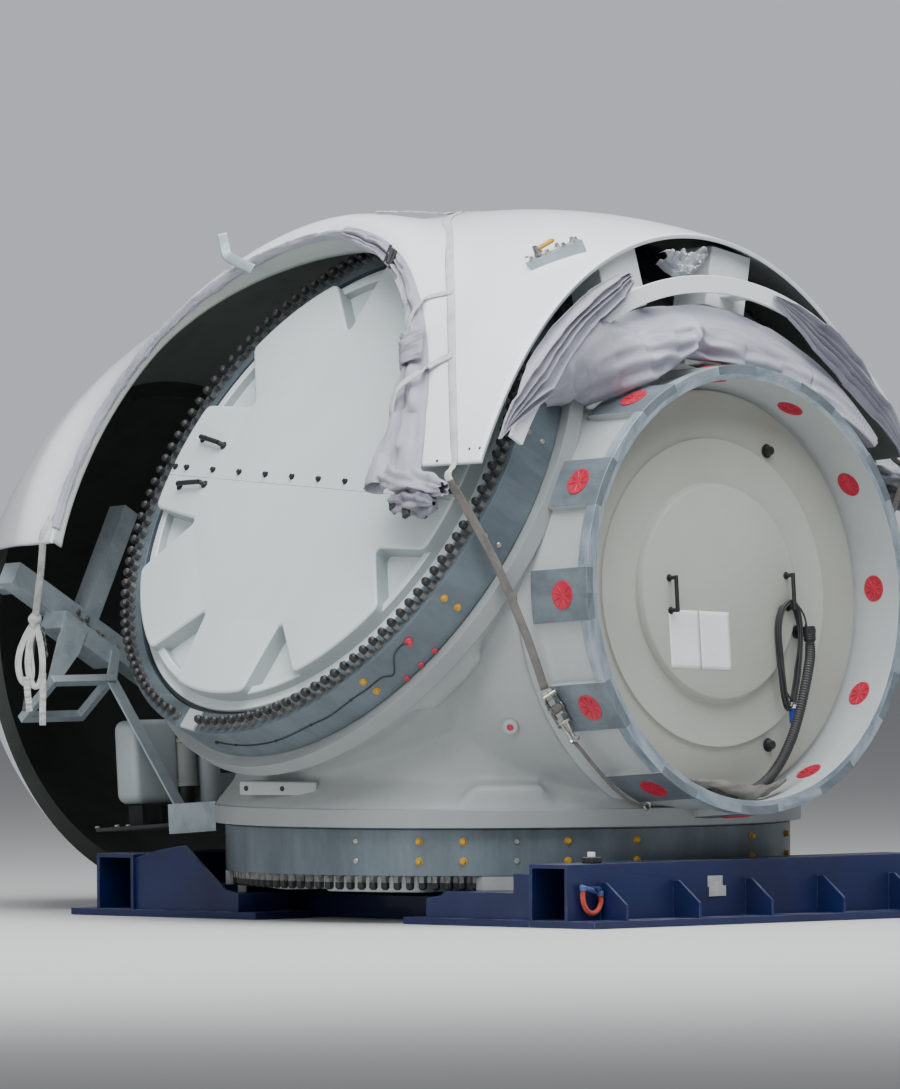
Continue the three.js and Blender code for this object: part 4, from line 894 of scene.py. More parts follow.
for side in BEARINGS:
    heights = (1.154, 1.255) if side == "bottom" else (1.171, 1.268)
    grease, blank = bmesh.new(), bmesh.new()
    for alpha in GREASE_HOLES[side]:
        for height in heights:
            add_shape(grease, turned_plug(0.0145, 0.018), ring_place(side, alpha, height))
            add_shape(grease, turned_plug(0.020, 0.004), ring_place(side, alpha, height))
    for alpha in BLANK_HOLES[side]:
        for height in heights:
            add_shape(blank, turned_plug(0.014, 0.006), ring_place(side, alpha, height))
    piece(f"grease_plugs_{side}", grease, yellow_plastic)
    piece(f"blank_plugs_{side}", blank, bright_steel)
red = bmesh.new()
for alpha in (221.3, 225.3, 229.4):
    add_shape(red, turned_plug(0.015, 0.010), ring_place("left", alpha, 1.108))
add_shape(red, turned_plug(0.022, 0.014), ring_place("left", 222.7, 1.262))
add_shape(red, turned_plug(0.015, 0.036), ring_place("left", 222.7, 1.262))
piece("sensor_caps", red, plug_plastic)
print("plugs set on three rings")

# %% [markdown]
# ## The closing plates
# A white cover closes each bearing. It has eight pointed notches with rounded corners round its edge,
# and a thinner rim shows under them. The outline is drawn once with every corner rounded, then filled
# and pushed up, its top edge is bevelled, and a plane cuts the side covers in two halves at the seam.

# %% The notched outline


def round_corners(corners, steps=7):
    """Replaces each (x, y, radius) corner of an outline by an arc of that radius."""
    outline = []
    for index, (x, y, radius) in enumerate(corners):
        here = Vector((x, y))
        if radius == 0:
            outline.append(here)
            continue
        before = (Vector(corners[index - 1][:2]) - here).normalized()
        after = (Vector(corners[(index + 1) % len(corners)][:2]) - here).normalized()
        half = before.angle(after) / 2
        centre = here + (before + after).normalized() * radius / math.sin(half)
        first = here + before * radius / math.tan(half) - centre
        last = here + after * radius / math.tan(half) - centre
        for step in range(steps + 1):
            outline.append(centre + first.slerp(last, step / steps).normalized() * radius)
    return outline


PLATE_RADIUS, NOTCH_RADIUS = 1.26, 0.878
NOTCHES, FIRST_NOTCH, NOTCH_HALF, ARC_MARGIN, ARC_STEPS = 8, 34.3, 8.6, 10.8, 12
corners = []
for index in range(NOTCHES):
    middle = FIRST_NOTCH + 360 / NOTCHES * index
    arc = 360 / NOTCHES - 2 * ARC_MARGIN
    spread = [(PLATE_RADIUS, middle - NOTCH_HALF, 0.05), (NOTCH_RADIUS, middle, 0.024),
              (PLATE_RADIUS, middle + NOTCH_HALF, 0.05)]
    spread += [(PLATE_RADIUS, middle + ARC_MARGIN + arc * step / ARC_STEPS, 0)
               for step in range(1, ARC_STEPS)]
    corners += [(*ring_spot(alpha, radius)[:2], fillet) for radius, alpha, fillet in spread]
plate_outline = round_corners(corners)
print("plate outline:", len(plate_outline), "points")

# %% The plates
SEAM_TURN, SEAM_OFFSET, SEAM_GAP = math.radians(9.5), -0.063, 0.0012
SEAM_NORMAL = Vector((math.cos(SEAM_TURN), -math.sin(SEAM_TURN), 0))
PLATE_TOP = 1.42


def plate_shape():
    """The raised plate with a rounded top edge, on its flat rim, with a low rib behind each notch's mouth."""
    bm = bmesh.new()
    add_plate(bm, plate_outline, 0.100)
    bmesh.ops.translate(bm, verts=bm.verts, vec=(0, 0, 1.320))
    top = [edge for edge in bm.edges if all(end.co.z > PLATE_TOP - 0.01 for end in edge.verts)]
    bmesh.ops.bevel(bm, geom=top, offset=0.016, segments=4, profile=0.5, affect="EDGES", material=-1)
    add_shape(bm, lathe([(0, 1.2995), (1.308, 1.2995), (1.312, 1.3035), (1.312, 1.322), (1.308, 1.3262),
                         (0, 1.3262)], 192))
    add_shape(bm, lathe([(1.200, 1.318), (1.208, 1.366), (1.214, 1.371), (1.246, 1.371), (1.252, 1.366),
                         (1.260, 1.318)], 192))
    return bm


def half_of(bm, keep):
    """Cuts a plate at its seam and keeps one side of it; upright walls get the second finish, a darker copy
    of the plate's paint that is painted shade.
    """
    halve_big_faces(bm)
    for face in bm.faces:
        face.material_index = 1 if abs(face.normal.z) < 0.5 and face.calc_center_median().z > 1.33 else 0
    cut_off(bm, SEAM_NORMAL * (SEAM_OFFSET + keep * SEAM_GAP), SEAM_NORMAL * -keep)
    return bm


for side in SIDES:
    for name, keep in (("upper", 1), ("lower", -1)):
        piece(f"plate_{name}_{side}", half_of(plate_shape(), keep), [plate_paint, wall_shade_paint], BEARINGS[side],
              BODIES[side], replaces=[f"closing_plate_{name}_{side}"], crease=28)
piece("plate_bottom", plate_shape(), plate_paint, BEARINGS["bottom"],
      replaces=["closing_plate_bottom"], crease=28)
print("five closing plates")

# %% Seam bolts and plate handles
# the line of a handle: radius and height of its feet and its corners
HANDLE = [(0.905, 1.4196), (0.920, 1.452), (1.095, 1.452), (1.110, 1.4196)]
for side in SIDES:
    bolts, grips = bmesh.new(), bmesh.new()
    along = Vector((-SEAM_NORMAL.y, SEAM_NORMAL.x, 0))
    for reach in (1.222, *(1.12 - 0.235 * step for step in range(10)), -1.222):
        spot = SEAM_NORMAL * (SEAM_OFFSET + 0.047) + along * reach
        add_rod(bolts, (spot.x, spot.y, PLATE_TOP), (spot.x, spot.y, PLATE_TOP + 0.004), 0.017, 12)
        add_rod(bolts, (spot.x, spot.y, PLATE_TOP + 0.004), (spot.x, spot.y, PLATE_TOP + 0.017), 0.012, 6)
    for alpha in (17.5, 3.0, 198.0, 181.5):
        for start, end in zip(HANDLE, HANDLE[1:]):
            add_rod(grips, ring_spot(alpha, *start), ring_spot(alpha, *end), 0.0135, 12)
        for radius, foot in (HANDLE[0], HANDLE[-1]):
            add_rod(grips, ring_spot(alpha, radius, foot), ring_spot(alpha, radius, foot + 0.0064), 0.022, 16)
    piece(f"seam_bolts_{side}", bolts, black_plastic, BEARINGS[side], BODIES[side])
    soften(piece(f"plate_handles_{side}", grips, black_plastic, BEARINGS[side], BODIES[side]), 0.002)
print("seam bolts and handles on two covers")

# %% [markdown]
# ## The shaft collar
# The collar takes the main shaft. Its bore is painted, its front edge is bare machined steel, and
# twelve raised pads on its outside each have a hole closed by a red plug. The body is turned with a soft
# fillet towards the casting, and each pad is a short arc of a turned profile. A second plug closes each
# hole from the inside.

# %% Collar body
bm = lathe([(1.075, 1.7835), (1.143, 1.7835), (1.143, 1.715), (1.108, 1.709), (1.108, 1.50), (1.111, 1.43),
            (1.121, 1.37), (1.140, 1.325), (1.174, 1.3006), (1.075, 1.3006), (1.075, 1.406), (0.98, 1.406),
            (0.98, 1.466), (1.04, 1.466), (1.062, 1.476), (1.075, 1.502)], 240)
for face in bm.faces:
    middle = face.calc_center_median()
    radius = math.hypot(middle.x, middle.y)
    face.material_index = 1 if middle.z > 1.71 and radius > 1.08 else 0
collar = soften(piece("collar", bm, [pocket_paint, face_steel], SHAFT,
                      replaces=["shaft_collar"]), 0.003)
print("collar:", len(collar.data.polygons), "faces")

# %% Pads and plugs
PADS, PAD_ARC, PAD_RADIUS = 12, 13.7, 1.1475
DISH = [(0, -0.004), (0.073, -0.004), (0.073, 0.003), (0.067, 0.0045), (0.060, 0.0012), (0.022, 0.0006),
        (0.016, 0.0024), (0, 0.0026)]
pads, plugs = bmesh.new(), bmesh.new()
for index in range(PADS):
    middle_turn = 360 / PADS * index
    pad = lathe([(1.100, 1.3745), (PAD_RADIUS, 1.3745), (PAD_RADIUS, 1.7845), (1.100, 1.7845)], 14, PAD_ARC,
                middle_turn - PAD_ARC / 2)
    for face in pad.faces:
        middle = face.calc_center_median()
        sideways = face.normal.cross(Vector((middle.x, middle.y, 0)).normalized()).z
        face.material_index = 1 if abs(sideways) > 0.7 or face.normal.z < -0.7 else 0
    add_shape(pads, pad)
    for radius, flip, size in ((PAD_RADIUS, 90, 1.0), (1.0745, -90, 0.93)):
        place = turned(middle_turn, "Z") @ Matrix.Translation((radius, 0, 1.6065)) @ turned(flip, "Y")
        dish = lathe([(size * reach, height) for reach, height in DISH], 36)
        for rib in range(9):
            turn = math.radians(40 * rib + 11 * (index % 4))
            add_rod(dish, (0.020 * math.cos(turn), 0.020 * math.sin(turn), 0.001),
                    (0.062 * size * math.cos(turn), 0.062 * size * math.sin(turn), 0.0022), 0.0035, 6)
        add_shape(plugs, dish, place)
soften(piece("collar_pads", pads, [pad_steel, pocket_paint], SHAFT), 0.004)
piece("collar_plugs", plugs, plug_plastic, SHAFT, crease=40)
print("twelve pads, twenty-four plugs")

# %% [markdown]
# ## The shaft cover
# A stepped round cover closes the collar. It is one turned shape with rounded steps. Two blank sheets of
# paper, two black handles and two small plugs sit on it.

# %% Cover
STEP_FACE, COVER_FACE = -1.507, -1.5761
bm = lathe([(0, 1.4664), (1.036, 1.4664), (1.036, 1.498), (1.018, 1.507), (0.800, 1.507), (0.792, 1.512),
            (0.788, 1.526), (0.575, 1.526), (0.560, 1.531), (0.548, 1.571), (0.538, 1.576), (0, 1.576)], 240)
cover = piece("cover", bm, cover_paint, SHAFT, replaces=["shaft_cover"], crease=50)
soften(cover, 0.003, 2, 50)
print("cover:", len(cover.data.polygons), "faces")

# %% Paper sheets
for index, left in enumerate((-0.376, -0.160)):
    def curl(u, v, left=left, index=index):
        x = left + 0.210 * u
        z = -0.083 - 0.297 * (1 - v) - 0.022 * (x + 0.371) / 0.43
        lift = 0.0006 + 0.010 * max(v - 0.8, 0) ** 2 + 0.006 * (u - 0.5) ** 2 * (1 - v)
        return Vector((x, -1.5762 - lift - 0.0008 * index, z))
    page = piece(f"paper_sheet_{index + 1}", sheet_grid(10, 14, curl), paper, ROTOR)
    thicken(page, 0.0006)
print("two paper sheets")

# %% Cover handles and plugs
GRIP_BACK = -1.628
for side, x in (("left", -0.360), ("right", 0.475)):
    bm = bmesh.new()
    for z in (-0.089, 0.077):
        add_rod(bm, (x, COVER_FACE, z), (x, GRIP_BACK, z), 0.0105, 20)
        add_rod(bm, (x, COVER_FACE, z), (x, -1.582, z), 0.019, 24)
    add_rod(bm, (x, GRIP_BACK, -0.1), (x, GRIP_BACK, 0.088), 0.011, 20)
    soften(piece(f"cover_grip_{side}", bm, black_plastic, ROTOR,
                 replaces=[f"cover_handle_{side}"]), 0.004)
bm = bmesh.new()
for x, z in ((0.352, -0.785), (0.449, 0.719)):
    add_rod(bm, (x, STEP_FACE, z), (x, -1.513, z), 0.036, 24)
    add_rod(bm, (x, -1.513, z), (x, -1.545, z), 0.027, 24, 0.022)
soften(piece("cover_plugs", bm, black_plastic, ROTOR), 0.004)
print("handles and plugs on the cover")

# %% [markdown]
# ## The top of the spinner
# The white shell is moulded in glass fibre, round like a cone's shoulder but drawn in between the blades,
# and it rises to a flat lip round each blade opening. One formula gives its radius anywhere. A grid is
# wrapped on that formula, a Solidify modifier gives the wall, and a Boolean cuts the two round openings.

# %% The shell's surface
SHELL_REAR, SHELL_FRONT, SHELL_TIP, SHELL_WALL = -1.444, 2.495, 3.55, 0.022
LEG_HEIGHT, FRONT_EDGE_HEIGHT = 0.69, 0.475
CROWN, REAR_DROP, NOSE_POWER, LOBE_DEPTH = 2.055, 0.219, 0.609, 0.086
OPENING_RADIUS, OPENING_FORWARD, OPENING_LIP, LIP_BLEND = 1.335, 0.343, 1.71, 0.33
OUT_OF_ROTOR = {side: ROTOR.inverted() @ BEARINGS[side] for side in SIDES}
INTO_BEARING = {side: matrix.inverted() for side, matrix in OUT_OF_ROTOR.items()}
BLADES = {side: math.radians(BLADE_ANGLES[side]) for side in SIDES}


def crown_radius(y):
    """The shell's largest radius at a distance towards the nose."""
    if y < 0:
        return CROWN - REAR_DROP * (y / SHELL_REAR) ** 2
    return CROWN * max(1 - (y / SHELL_TIP) ** 2, 0) ** NOSE_POWER


def lobed_radius(y, angle):
    """The radius drawn in between the blades."""
    return crown_radius(y) - LOBE_DEPTH * (1 - eased(-0.4, 2.4, y)) * (1 + math.sin(3 * angle))


def shell_radius(y, angle):
    """The radius with the raised lips round the blade openings."""
    base = lobed_radius(y, angle)
    total = base
    for side, blade in BLADES.items():
        if math.cos(angle - blade) < 0.2:
            continue
        local = INTO_BEARING[side] @ Vector((base * math.cos(angle), y, base * math.sin(angle)))
        away = Vector((local.x, local.y - OPENING_FORWARD))
        fade = 1 - eased(OPENING_RADIUS, OPENING_RADIUS + LIP_BLEND, away.length)
        if away.length > OPENING_RADIUS:
            away = away.normalized() * OPENING_RADIUS
        lip = OUT_OF_ROTOR[side] @ Vector((away.x, away.y + OPENING_FORWARD, OPENING_LIP))
        total += fade * (math.hypot(lip.x, lip.z) - lobed_radius(lip.y, math.atan2(lip.z, lip.x)))
    return total


def shell_point(y, degrees, lift=0.0):
    """A point on the shell, in rotor coordinates."""
    angle = math.radians(degrees)
    radius = shell_radius(y, angle) + lift
    return Vector((radius * math.cos(angle), y, radius * math.sin(angle)))


def shell_height(side, x, y):
    """How far out the shell lies above a point of the bearing's face."""
    height = OPENING_LIP
    for _ in range(10):
        spot = OUT_OF_ROTOR[side] @ Vector((x, y, height))
        height += 0.9 * (shell_radius(spot.y, math.atan2(spot.z, spot.x)) - math.hypot(spot.x, spot.z))
    return height


print("shell radius over the top:", [round(shell_radius(y, math.radians(90)), 3) for y in (-1.4, 0, 2.4)])

# %% The top shell
NOSE_GAP = 0.0004


def shell_corner(u, v):
    """Wraps the grid over the top, from one lower edge to the other."""
    y = SHELL_REAR + (SHELL_FRONT - NOSE_GAP - SHELL_REAR) * v
    foot = LEG_HEIGHT if y < OPENING_FORWARD else FRONT_EDGE_HEIGHT
    low = 0.3
    for _ in range(6):
        low = math.asin(foot / shell_radius(y, low))
    angle = low + (math.pi - 2 * low) * u
    radius = shell_radius(y, angle)
    return Vector((radius * math.cos(angle), y, radius * math.sin(angle)))


bm = sheet_grid(190, 120, shell_corner)
scale_uv(bm, 5.2, 3.9)
if sum(face.normal.z for face in bm.faces) < 0:
    bmesh.ops.reverse_faces(bm, faces=bm.faces)
shell = piece("top_shell", bm, [gelcoat, shell_inside], ROTOR,
              replaces=["spinner_top_shell"])
thicken(shell, SHELL_WALL, -1)
shell.modifiers["Thickness"].material_offset = 1
soften(shell, 0.004)
cutters = []
for side in SIDES:
    bm = bmesh.new()
    add_rod(bm, (0, OPENING_FORWARD, 0.6), (0, OPENING_FORWARD, 2.5), OPENING_RADIUS, 288)
    bmesh.ops.transform(bm, matrix=BEARINGS[side], verts=bm.verts)
    cutter = new_object(f"opening_{side}", mesh_of("opening", bm))
    cutters.append(cutter)
    cut = shell.modifiers.new(f"Opening {side}", "BOOLEAN")
    cut.operation, cut.solver, cut.object = "DIFFERENCE", "EXACT", cutter
settle(shell)
shell.data.set_sharp_from_angle(angle=math.radians(30))
for cutter in cutters:
    bpy.data.objects.remove(cutter)
print("top shell:", sum(len(face.vertices) - 2 for face in shell.data.polygons), "triangles")

# %% The return lips of the openings
# A wall runs inwards from each opening's edge. Light falls on it, while the space behind it stays dark.
# It gets shallower towards its lower end.
LIP_DEPTH, LIP_RADIUS = 0.19, 1.333
lip_paint = paint("lip_paint", (176, 182, 178), (158, 164, 160), rough=0.6, size=2.0,
                  grain=(40.0, 0.5, 0.003))


def lip_corner(side):
    """The wall along one opening, from the edge inwards."""
    def corner(u, v):
        turn = math.radians(-8.0 + 204.0 * v)
        deep = LIP_DEPTH * (1 - 0.66 * eased(1.5, 2.6, turn))
        x, y = -SIGN[side] * LIP_RADIUS * math.sin(turn), OPENING_FORWARD - LIP_RADIUS * math.cos(turn)
        base = shell_height(side, x * 1.004, OPENING_FORWARD + (y - OPENING_FORWARD) * 1.004)
        return OUT_OF_ROTOR[side] @ Vector((x, y, base - 0.014 - deep * u))
    return corner


for side in SIDES:
    bm = sheet_grid(6, 160, lip_corner(side))
    scale_uv(bm, LIP_DEPTH, 4.8)
    lip = piece(f"opening_lip_{side}", bm, lip_paint, ROTOR)
    thicken(lip, 0.010)
print("two return lips")

# %% [markdown]
# ## Nose cone, arch and brackets
# The nose carries the shell's line on to its tip and is fully round, so it is turned, wall and flange in
# one profile. Behind the shell a flat white arch stands on two box brackets.

# %% Nose cone
NOSE = ROTOR @ turned(-90, "X")
NOSE_ROWS, NOSE_FLANGE = 24, 0.020
outer, inner = [], []
for row in range(NOSE_ROWS + 1):
    t = row / NOSE_ROWS
    y = SHELL_FRONT + (SHELL_TIP - SHELL_FRONT) * math.sin(t * math.pi / 2)
    radius = crown_radius(y) if row < NOSE_ROWS else 0.0
    outer.append((radius, y))
    inner.append((radius * (1 - SHELL_WALL / 1.4), y - SHELL_WALL * t if row else SHELL_FRONT + NOSE_FLANGE))
bm = lathe([(1.262, SHELL_FRONT + NOSE_FLANGE), (1.262, SHELL_FRONT), *outer, *reversed(inner)], 160)
for face in bm.faces:
    middle = face.calc_center_median()
    inwards = face.normal.x * middle.x + face.normal.y * middle.y < 0 or face.normal.z < -0.7
    face.material_index = 1 if inwards else 0
nose = soften(piece("nose_cone", bm, [gelcoat, nose_inside], NOSE,
                    replaces=["spinner_nose_cone"], crease=40), 0.003)
print("nose cone:", len(nose.data.polygons), "faces")

# %% Arch and brackets
BRACKET_TURN = 13.3
arch = lathe([(1.53, 1.534), (1.62, 1.534), (1.62, 1.559), (1.53, 1.559)], 100, 120.0, 30.0)
soften(piece("arch", arch, gelcoat, SHAFT, replaces=["spinner_rear_arch"]), 0.004)
for side, sign in SIGN.items():
    bm = bmesh.new()
    add_box(bm, (-0.14, -1.365, 1.488), (0.14, -1.12, 1.80))
    add_box(bm, (-0.06, -1.330, 1.20), (0.06, -1.17, 1.488))
    add_box(bm, (-0.05, -1.5336, 1.545), (0.05, -1.365, 1.605))
    place = ROTOR @ turned(sign * BRACKET_TURN, "Y")
    soften(piece(f"bracket_{side}", bm, gelcoat, place,
                 replaces=[f"shell_bracket_{side}"]), 0.008, 3)
print("arch and two brackets")

# %% [markdown]
# ## The lifting plate on the shell
# A zinc-coated plate is bolted over a lifting point, with eight bolts, a shackle and a yellow link. The
# plate is turned and tilted to lie on the shell, so one matrix is built from the same turns, and everything
# on the plate is placed along its length and width.

# %% Lifting plate
middle = shell_point(-1.140, 110, 0.012)
on_plate = Matrix.Translation(middle) @ turned(-20, "Y") @ turned(-8, "X") @ turned(-32, "Z")
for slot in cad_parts["lifting_plate"].material_slots:
    slot.material = zinc
bolts, link, shackle = bmesh.new(), bmesh.new(), bmesh.new()
for x, y in ((-0.125, 0.055), (-0.125, -0.055), (-0.045, 0.06), (-0.035, -0.06), (0.045, 0.06),
             (0.055, -0.06), (0.125, 0.05), (0.125, -0.05)):
    add_rod(bolts, (x, y, -0.004), (x, y, 0.008), 0.0155, 16)
    add_rod(bolts, (x, y, 0.008), (x, y, 0.024), 0.0115, 6)
add_rod(shackle, (-0.075, -0.035, 0.012), (-0.075, 0.035, 0.012), 0.013, 14)
for y in (-0.030, 0.030):
    add_rod(shackle, (-0.075, y, 0.004), (-0.075, y * 0.6, 0.052), 0.011, 12)
add_rod(shackle, (-0.075, -0.020, 0.052), (-0.075, 0.020, 0.052), 0.011, 12)
near, far = ([(x, flip * y, z) for x, y, z in ((-0.070, 0.014, 0.040), (0.020, 0.022, 0.050))]
             for flip in (-1, 1))
for start, end in (near, far, (near[1], far[1]), (near[0], far[0])):
    add_rod(link, start, end, 0.0105, 14)
soften(piece("lifting_bolts", bolts, bright_steel, ROTOR @ on_plate), 0.0015)
soften(piece("lifting_shackle", shackle, stud_steel, ROTOR @ on_plate), 0.002)
soften(piece("lifting_link", link, yellow_plastic, ROTOR @ on_plate), 0.003)
print("lifting plate lies at", short(middle))

# %% [markdown]
# ## Cloth behind the hub
# A lilac-grey sheet is pulled over the top of the collar to keep the rain out, and two gathered curtains
# hang from the arch. A sheet is drawn as columns: each column gives where the cloth starts, bellies out
# and ends, as radius and depth at an angle round the rotor. Folds are added on top as smooth waves.

# %% Cloth helpers


def between(rows, share):
    """Reads a table of rows that start with a share, smoothly between its rows."""
    for first, second in zip(rows, rows[1:]):
        if share <= second[0]:
            break
    t = eased(first[0], second[0], share)
    return [a + (b - a) * t for a, b in zip(first[1:], second[1:])]


def crumple(spot, size, depth, seed=0.0):
    """A small push that depends only on the place, so it is the same in every run."""
    return depth * noise.noise(Vector(spot) * size + Vector((seed, seed * 0.7, -seed)))


def round_the_shaft(radius, degrees, y):
    """A point in rotor coordinates, by its radius and angle round the shaft."""
    angle = math.radians(degrees)
    return Vector((radius * math.cos(angle), y, radius * math.sin(angle)))


def ridge_at(value, middle, width):
    """A narrow rounded ridge of height 1."""
    return math.exp(-((value - middle) / width) ** 2)


def cloth_piece(name, bm, length, finish=None, thickness=0.0022, replaces=(), crease=70):
    area = sum(face.calc_area() for face in bm.faces)
    width = area / length
    scale_uv(bm, width, length)
    made = piece(name, bm, finish or cloth, ROTOR, replaces=replaces, crease=crease)
    thicken(made, thickness)
    print(name, "was cut", round(width, 2), "x", round(length, 2), "m")
    return made


# %% The sheet over the collar
# share, then for the top edge, the belly and the lower edge: degrees, radius, distance back
DRAPE = [
    (0.00, 139.0, 1.560, 1.566, 137.5, 1.480, 1.480, 133.0, 1.300, 1.270),
    (0.08, 133.5, 1.600, 1.570, 132.0, 1.430, 1.520, 126.0, 1.172, 1.230),
    (0.16, 128.0, 1.625, 1.572, 127.5, 1.410, 1.570, 124.5, 1.165, 1.330),
    (0.26, 119.0, 1.655, 1.572, 120.0, 1.380, 1.600, 119.5, 1.162, 1.500),
    (0.36, 110.5, 1.498, 1.440, 111.0, 1.350, 1.620, 111.5, 1.160, 1.612),
    (0.46, 101.0, 1.490, 1.440, 102.0, 1.335, 1.635, 103.0, 1.176, 1.600),
    (0.52, 95.5, 1.480, 1.440, 96.5, 1.345, 1.640, 97.5, 1.205, 1.588),
    (0.56, 91.5, 1.475, 1.440, 91.5, 1.325, 1.605, 92.0, 1.178, 1.600),
    (0.66, 80.0, 1.470, 1.440, 79.5, 1.310, 1.590, 79.0, 1.166, 1.600),
    (0.78, 68.0, 1.466, 1.440, 67.5, 1.310, 1.590, 67.0, 1.163, 1.610),
    (0.88, 57.5, 1.475, 1.440, 57.0, 1.330, 1.585, 56.5, 1.172, 1.640),
    (0.94, 46.0, 1.490, 1.440, 46.0, 1.370, 1.590, 46.0, 1.225, 1.645),
    (1.00, 33.0, 1.495, 1.440, 33.0, 1.420, 1.570, 33.0, 1.330, 1.620)]


def drape_corner(u, v):
    """Round the shaft by u, from the top edge over the belly and down inside the lower edge by v."""
    row = between(DRAPE, u)
    t = v * 1.06
    if t <= 1:
        weights = ((1 - t) ** 2, 2 * t * (1 - t), t * t)
        degrees = sum(row[3 * part] * weights[part] for part in range(3))
        belly = (4 * row[4] - row[1] - row[7]) / 2, (4 * row[5] - row[2] - row[8]) / 2
        radius = row[1] * weights[0] + belly[0] * weights[1] + row[7] * weights[2]
        back = row[2] * weights[0] + belly[1] * weights[1] + row[8] * weights[2]
    else:
        degrees, radius, back = row[6], row[7] + 0.004, row[8] - (t - 1) * 0.9
    lower = eased(0.25, 0.85, v)
    folds = 0.015 * (1 - 0.75 * eased(0.56, 0.64, u))
    back += (folds * math.sin(26 * v + 5 * math.sin(7 * u)) * lower * eased(0, 0.1, u)
             * (1 - eased(0.9, 1.0, v)))
    spot = Vector((u * 5.0, v * 0.6, 0))
    back += crumple((spot.x * 0.9, spot.y * 5, 0), 2.2, 0.020 * (0.4 + lower), 3.1)
    radius += crumple((spot.x, spot.y * 3, 0), 3.0, 0.010, 7.4) * (1 - eased(0.8, 1.0, v))
    ridge = ridge_at(u + 0.05 * (v - 0.45), 0.535, 0.012) * eased(0.3, 0.55, v) * (1 - eased(0.85, 1, v))
    left_ridge = ridge_at(u + 0.09 * (v - 0.3), 0.105, 0.012) * eased(0.1, 0.35, v) * (1 - eased(0.8, 1, v))
    seam = ridge_at(u, 0.885, 0.006) * eased(0.2, 0.5, v) * (1 - eased(0.85, 1, v))
    back += 0.040 * ridge + 0.030 * left_ridge - 0.012 * seam
    radius += 0.018 * ridge
    return round_the_shaft(radius, degrees, -back)


cloth_piece("rear_sheet", sheet_grid(210, 56, drape_corner), 3.2,
            replaces=["rear_drape"])

# %% The gathered curtains
# share, degrees, inner radius, outer radius, distance back
LEFT_CURTAIN = [
    (0.0, 108.0, 1.660, 1.720, 1.588), (0.08, 111.5, 1.600, 1.740, 1.594),
    (0.22, 118.5, 1.585, 1.748, 1.600), (0.50, 131.4, 1.550, 1.742, 1.598),
    (0.64, 137.5, 1.518, 1.734, 1.592), (0.82, 144.5, 1.590, 1.722, 1.586),
    (0.93, 149.0, 1.655, 1.712, 1.580), (1.0, 152.0, 1.690, 1.704, 1.576)]
RIGHT_CURTAIN = [
    (0.0, 72.0, 1.562, 1.588, 1.586), (0.12, 67.0, 1.505, 1.590, 1.592), (0.30, 59.0, 1.425, 1.588, 1.596),
    (0.55, 48.0, 1.415, 1.584, 1.596), (0.80, 37.0, 1.455, 1.588, 1.590), (1.0, 27.0, 1.500, 1.580, 1.584)]


def curtain(table, folds, phase):
    """A gathered curtain: deep folds run along it and draw together at both ends."""
    def corner(u, v):
        degrees, inner, outer, back = between(table, v)
        wander = 0.35 * math.sin(4 * v + phase) + 0.5 * noise.noise(Vector((u * 3, v * 2, phase)))
        fold = math.tau * (folds * u + phase + wander)
        push = math.sin(fold)
        push = math.copysign(abs(push) ** 0.7, push)
        depth = 0.008 + 0.018 * math.sin(math.pi * min(max(v, 0.06), 0.94))
        radius = inner + (outer - inner) * (u + 0.035 * math.sin(fold + 1.3))
        radius += crumple((v * 4, u, 0), 1.7, 0.012, phase)
        back += depth * push + crumple((u * 2, v * 9, 0), 2.6, 0.006, phase)
        return round_the_shaft(radius, degrees, -back)
    return corner


cloth_piece("curtain_left", sheet_grid(72, 90, curtain(LEFT_CURTAIN, 4.5, 0.2)), 1.25,
            replaces=["rear_curtain_left"])
cloth_piece("curtain_right", sheet_grid(72, 90, curtain(RIGHT_CURTAIN, 4.5, 0.6)), 1.3,
            replaces=["rear_curtain_right"])

# %% A crumpled scrap of sheet between the brackets


def scrap_corner(u, v):
    """A short piece that hangs in a small belly."""
    degrees = 95.5 - 10.5 * u
    hang = 0.10 * math.sin(math.pi * u) + 0.03
    radius = 1.755 - hang * v - 0.03 * v
    back = 1.42 + 0.03 * math.sin(8 * u + 5 * v) + 0.05 * math.sin(math.pi * v)
    push = crumple((u * 3, v * 3, 0), 2.0, 0.05, 11.0) + crumple((u * 3, v * 3, 0), 6.0, 0.02, 5.0)
    return round_the_shaft(radius + push * 0.6, degrees + push * 20, -back - push)


foil = paint("foil", (196, 198, 204), (120, 122, 130), rough=0.35, metal=0.5, size=9.0, amount=0.6)
cloth_piece("sheet_scrap", sheet_grid(44, 30, scrap_corner), 0.42, finish=foil,
            thickness=0.0008, crease=25)

# %% [markdown]
# ## Cloth along the blade openings
# The edge of each opening is wrapped with a strip of the same cloth. On the side of the hub it widens
# into a long skirt that hangs in two folds and is rolled up under the shell's leg. The strip is drawn in
# the bearing's own coordinates: rows along the opening's edge, and across the strip from the shell's
# outside, over the rim, to the free edge inside.

# %% Rim wrap and skirt
# share, then degrees and radius of the outer edge, of the valley between the folds and of the inner edge
SKIRT = [
    (0.00, 82.0, 1.368, 82.0, 1.330, 82.0, 1.292), (0.14, 72.0, 1.354, 71.0, 1.306, 70.0, 1.260),
    (0.28, 59.0, 1.350, 57.0, 1.300, 56.0, 1.256), (0.40, 51.0, 1.352, 49.0, 1.295, 48.0, 1.243),
    (0.52, 38.0, 1.356, 37.0, 1.290, 37.0, 1.244), (0.62, 26.0, 1.377, 28.0, 1.285, 29.0, 1.231),
    (0.74, 16.0, 1.413, 17.0, 1.286, 17.0, 1.212), (0.86, 3.5, 1.478, 4.0, 1.323, 5.0, 1.212),
    (0.94, -4.5, 1.552, -5.5, 1.388, -7.0, 1.192), (1.00, -9.0, 1.600, -12.5, 1.440, -15.0, 1.212)]
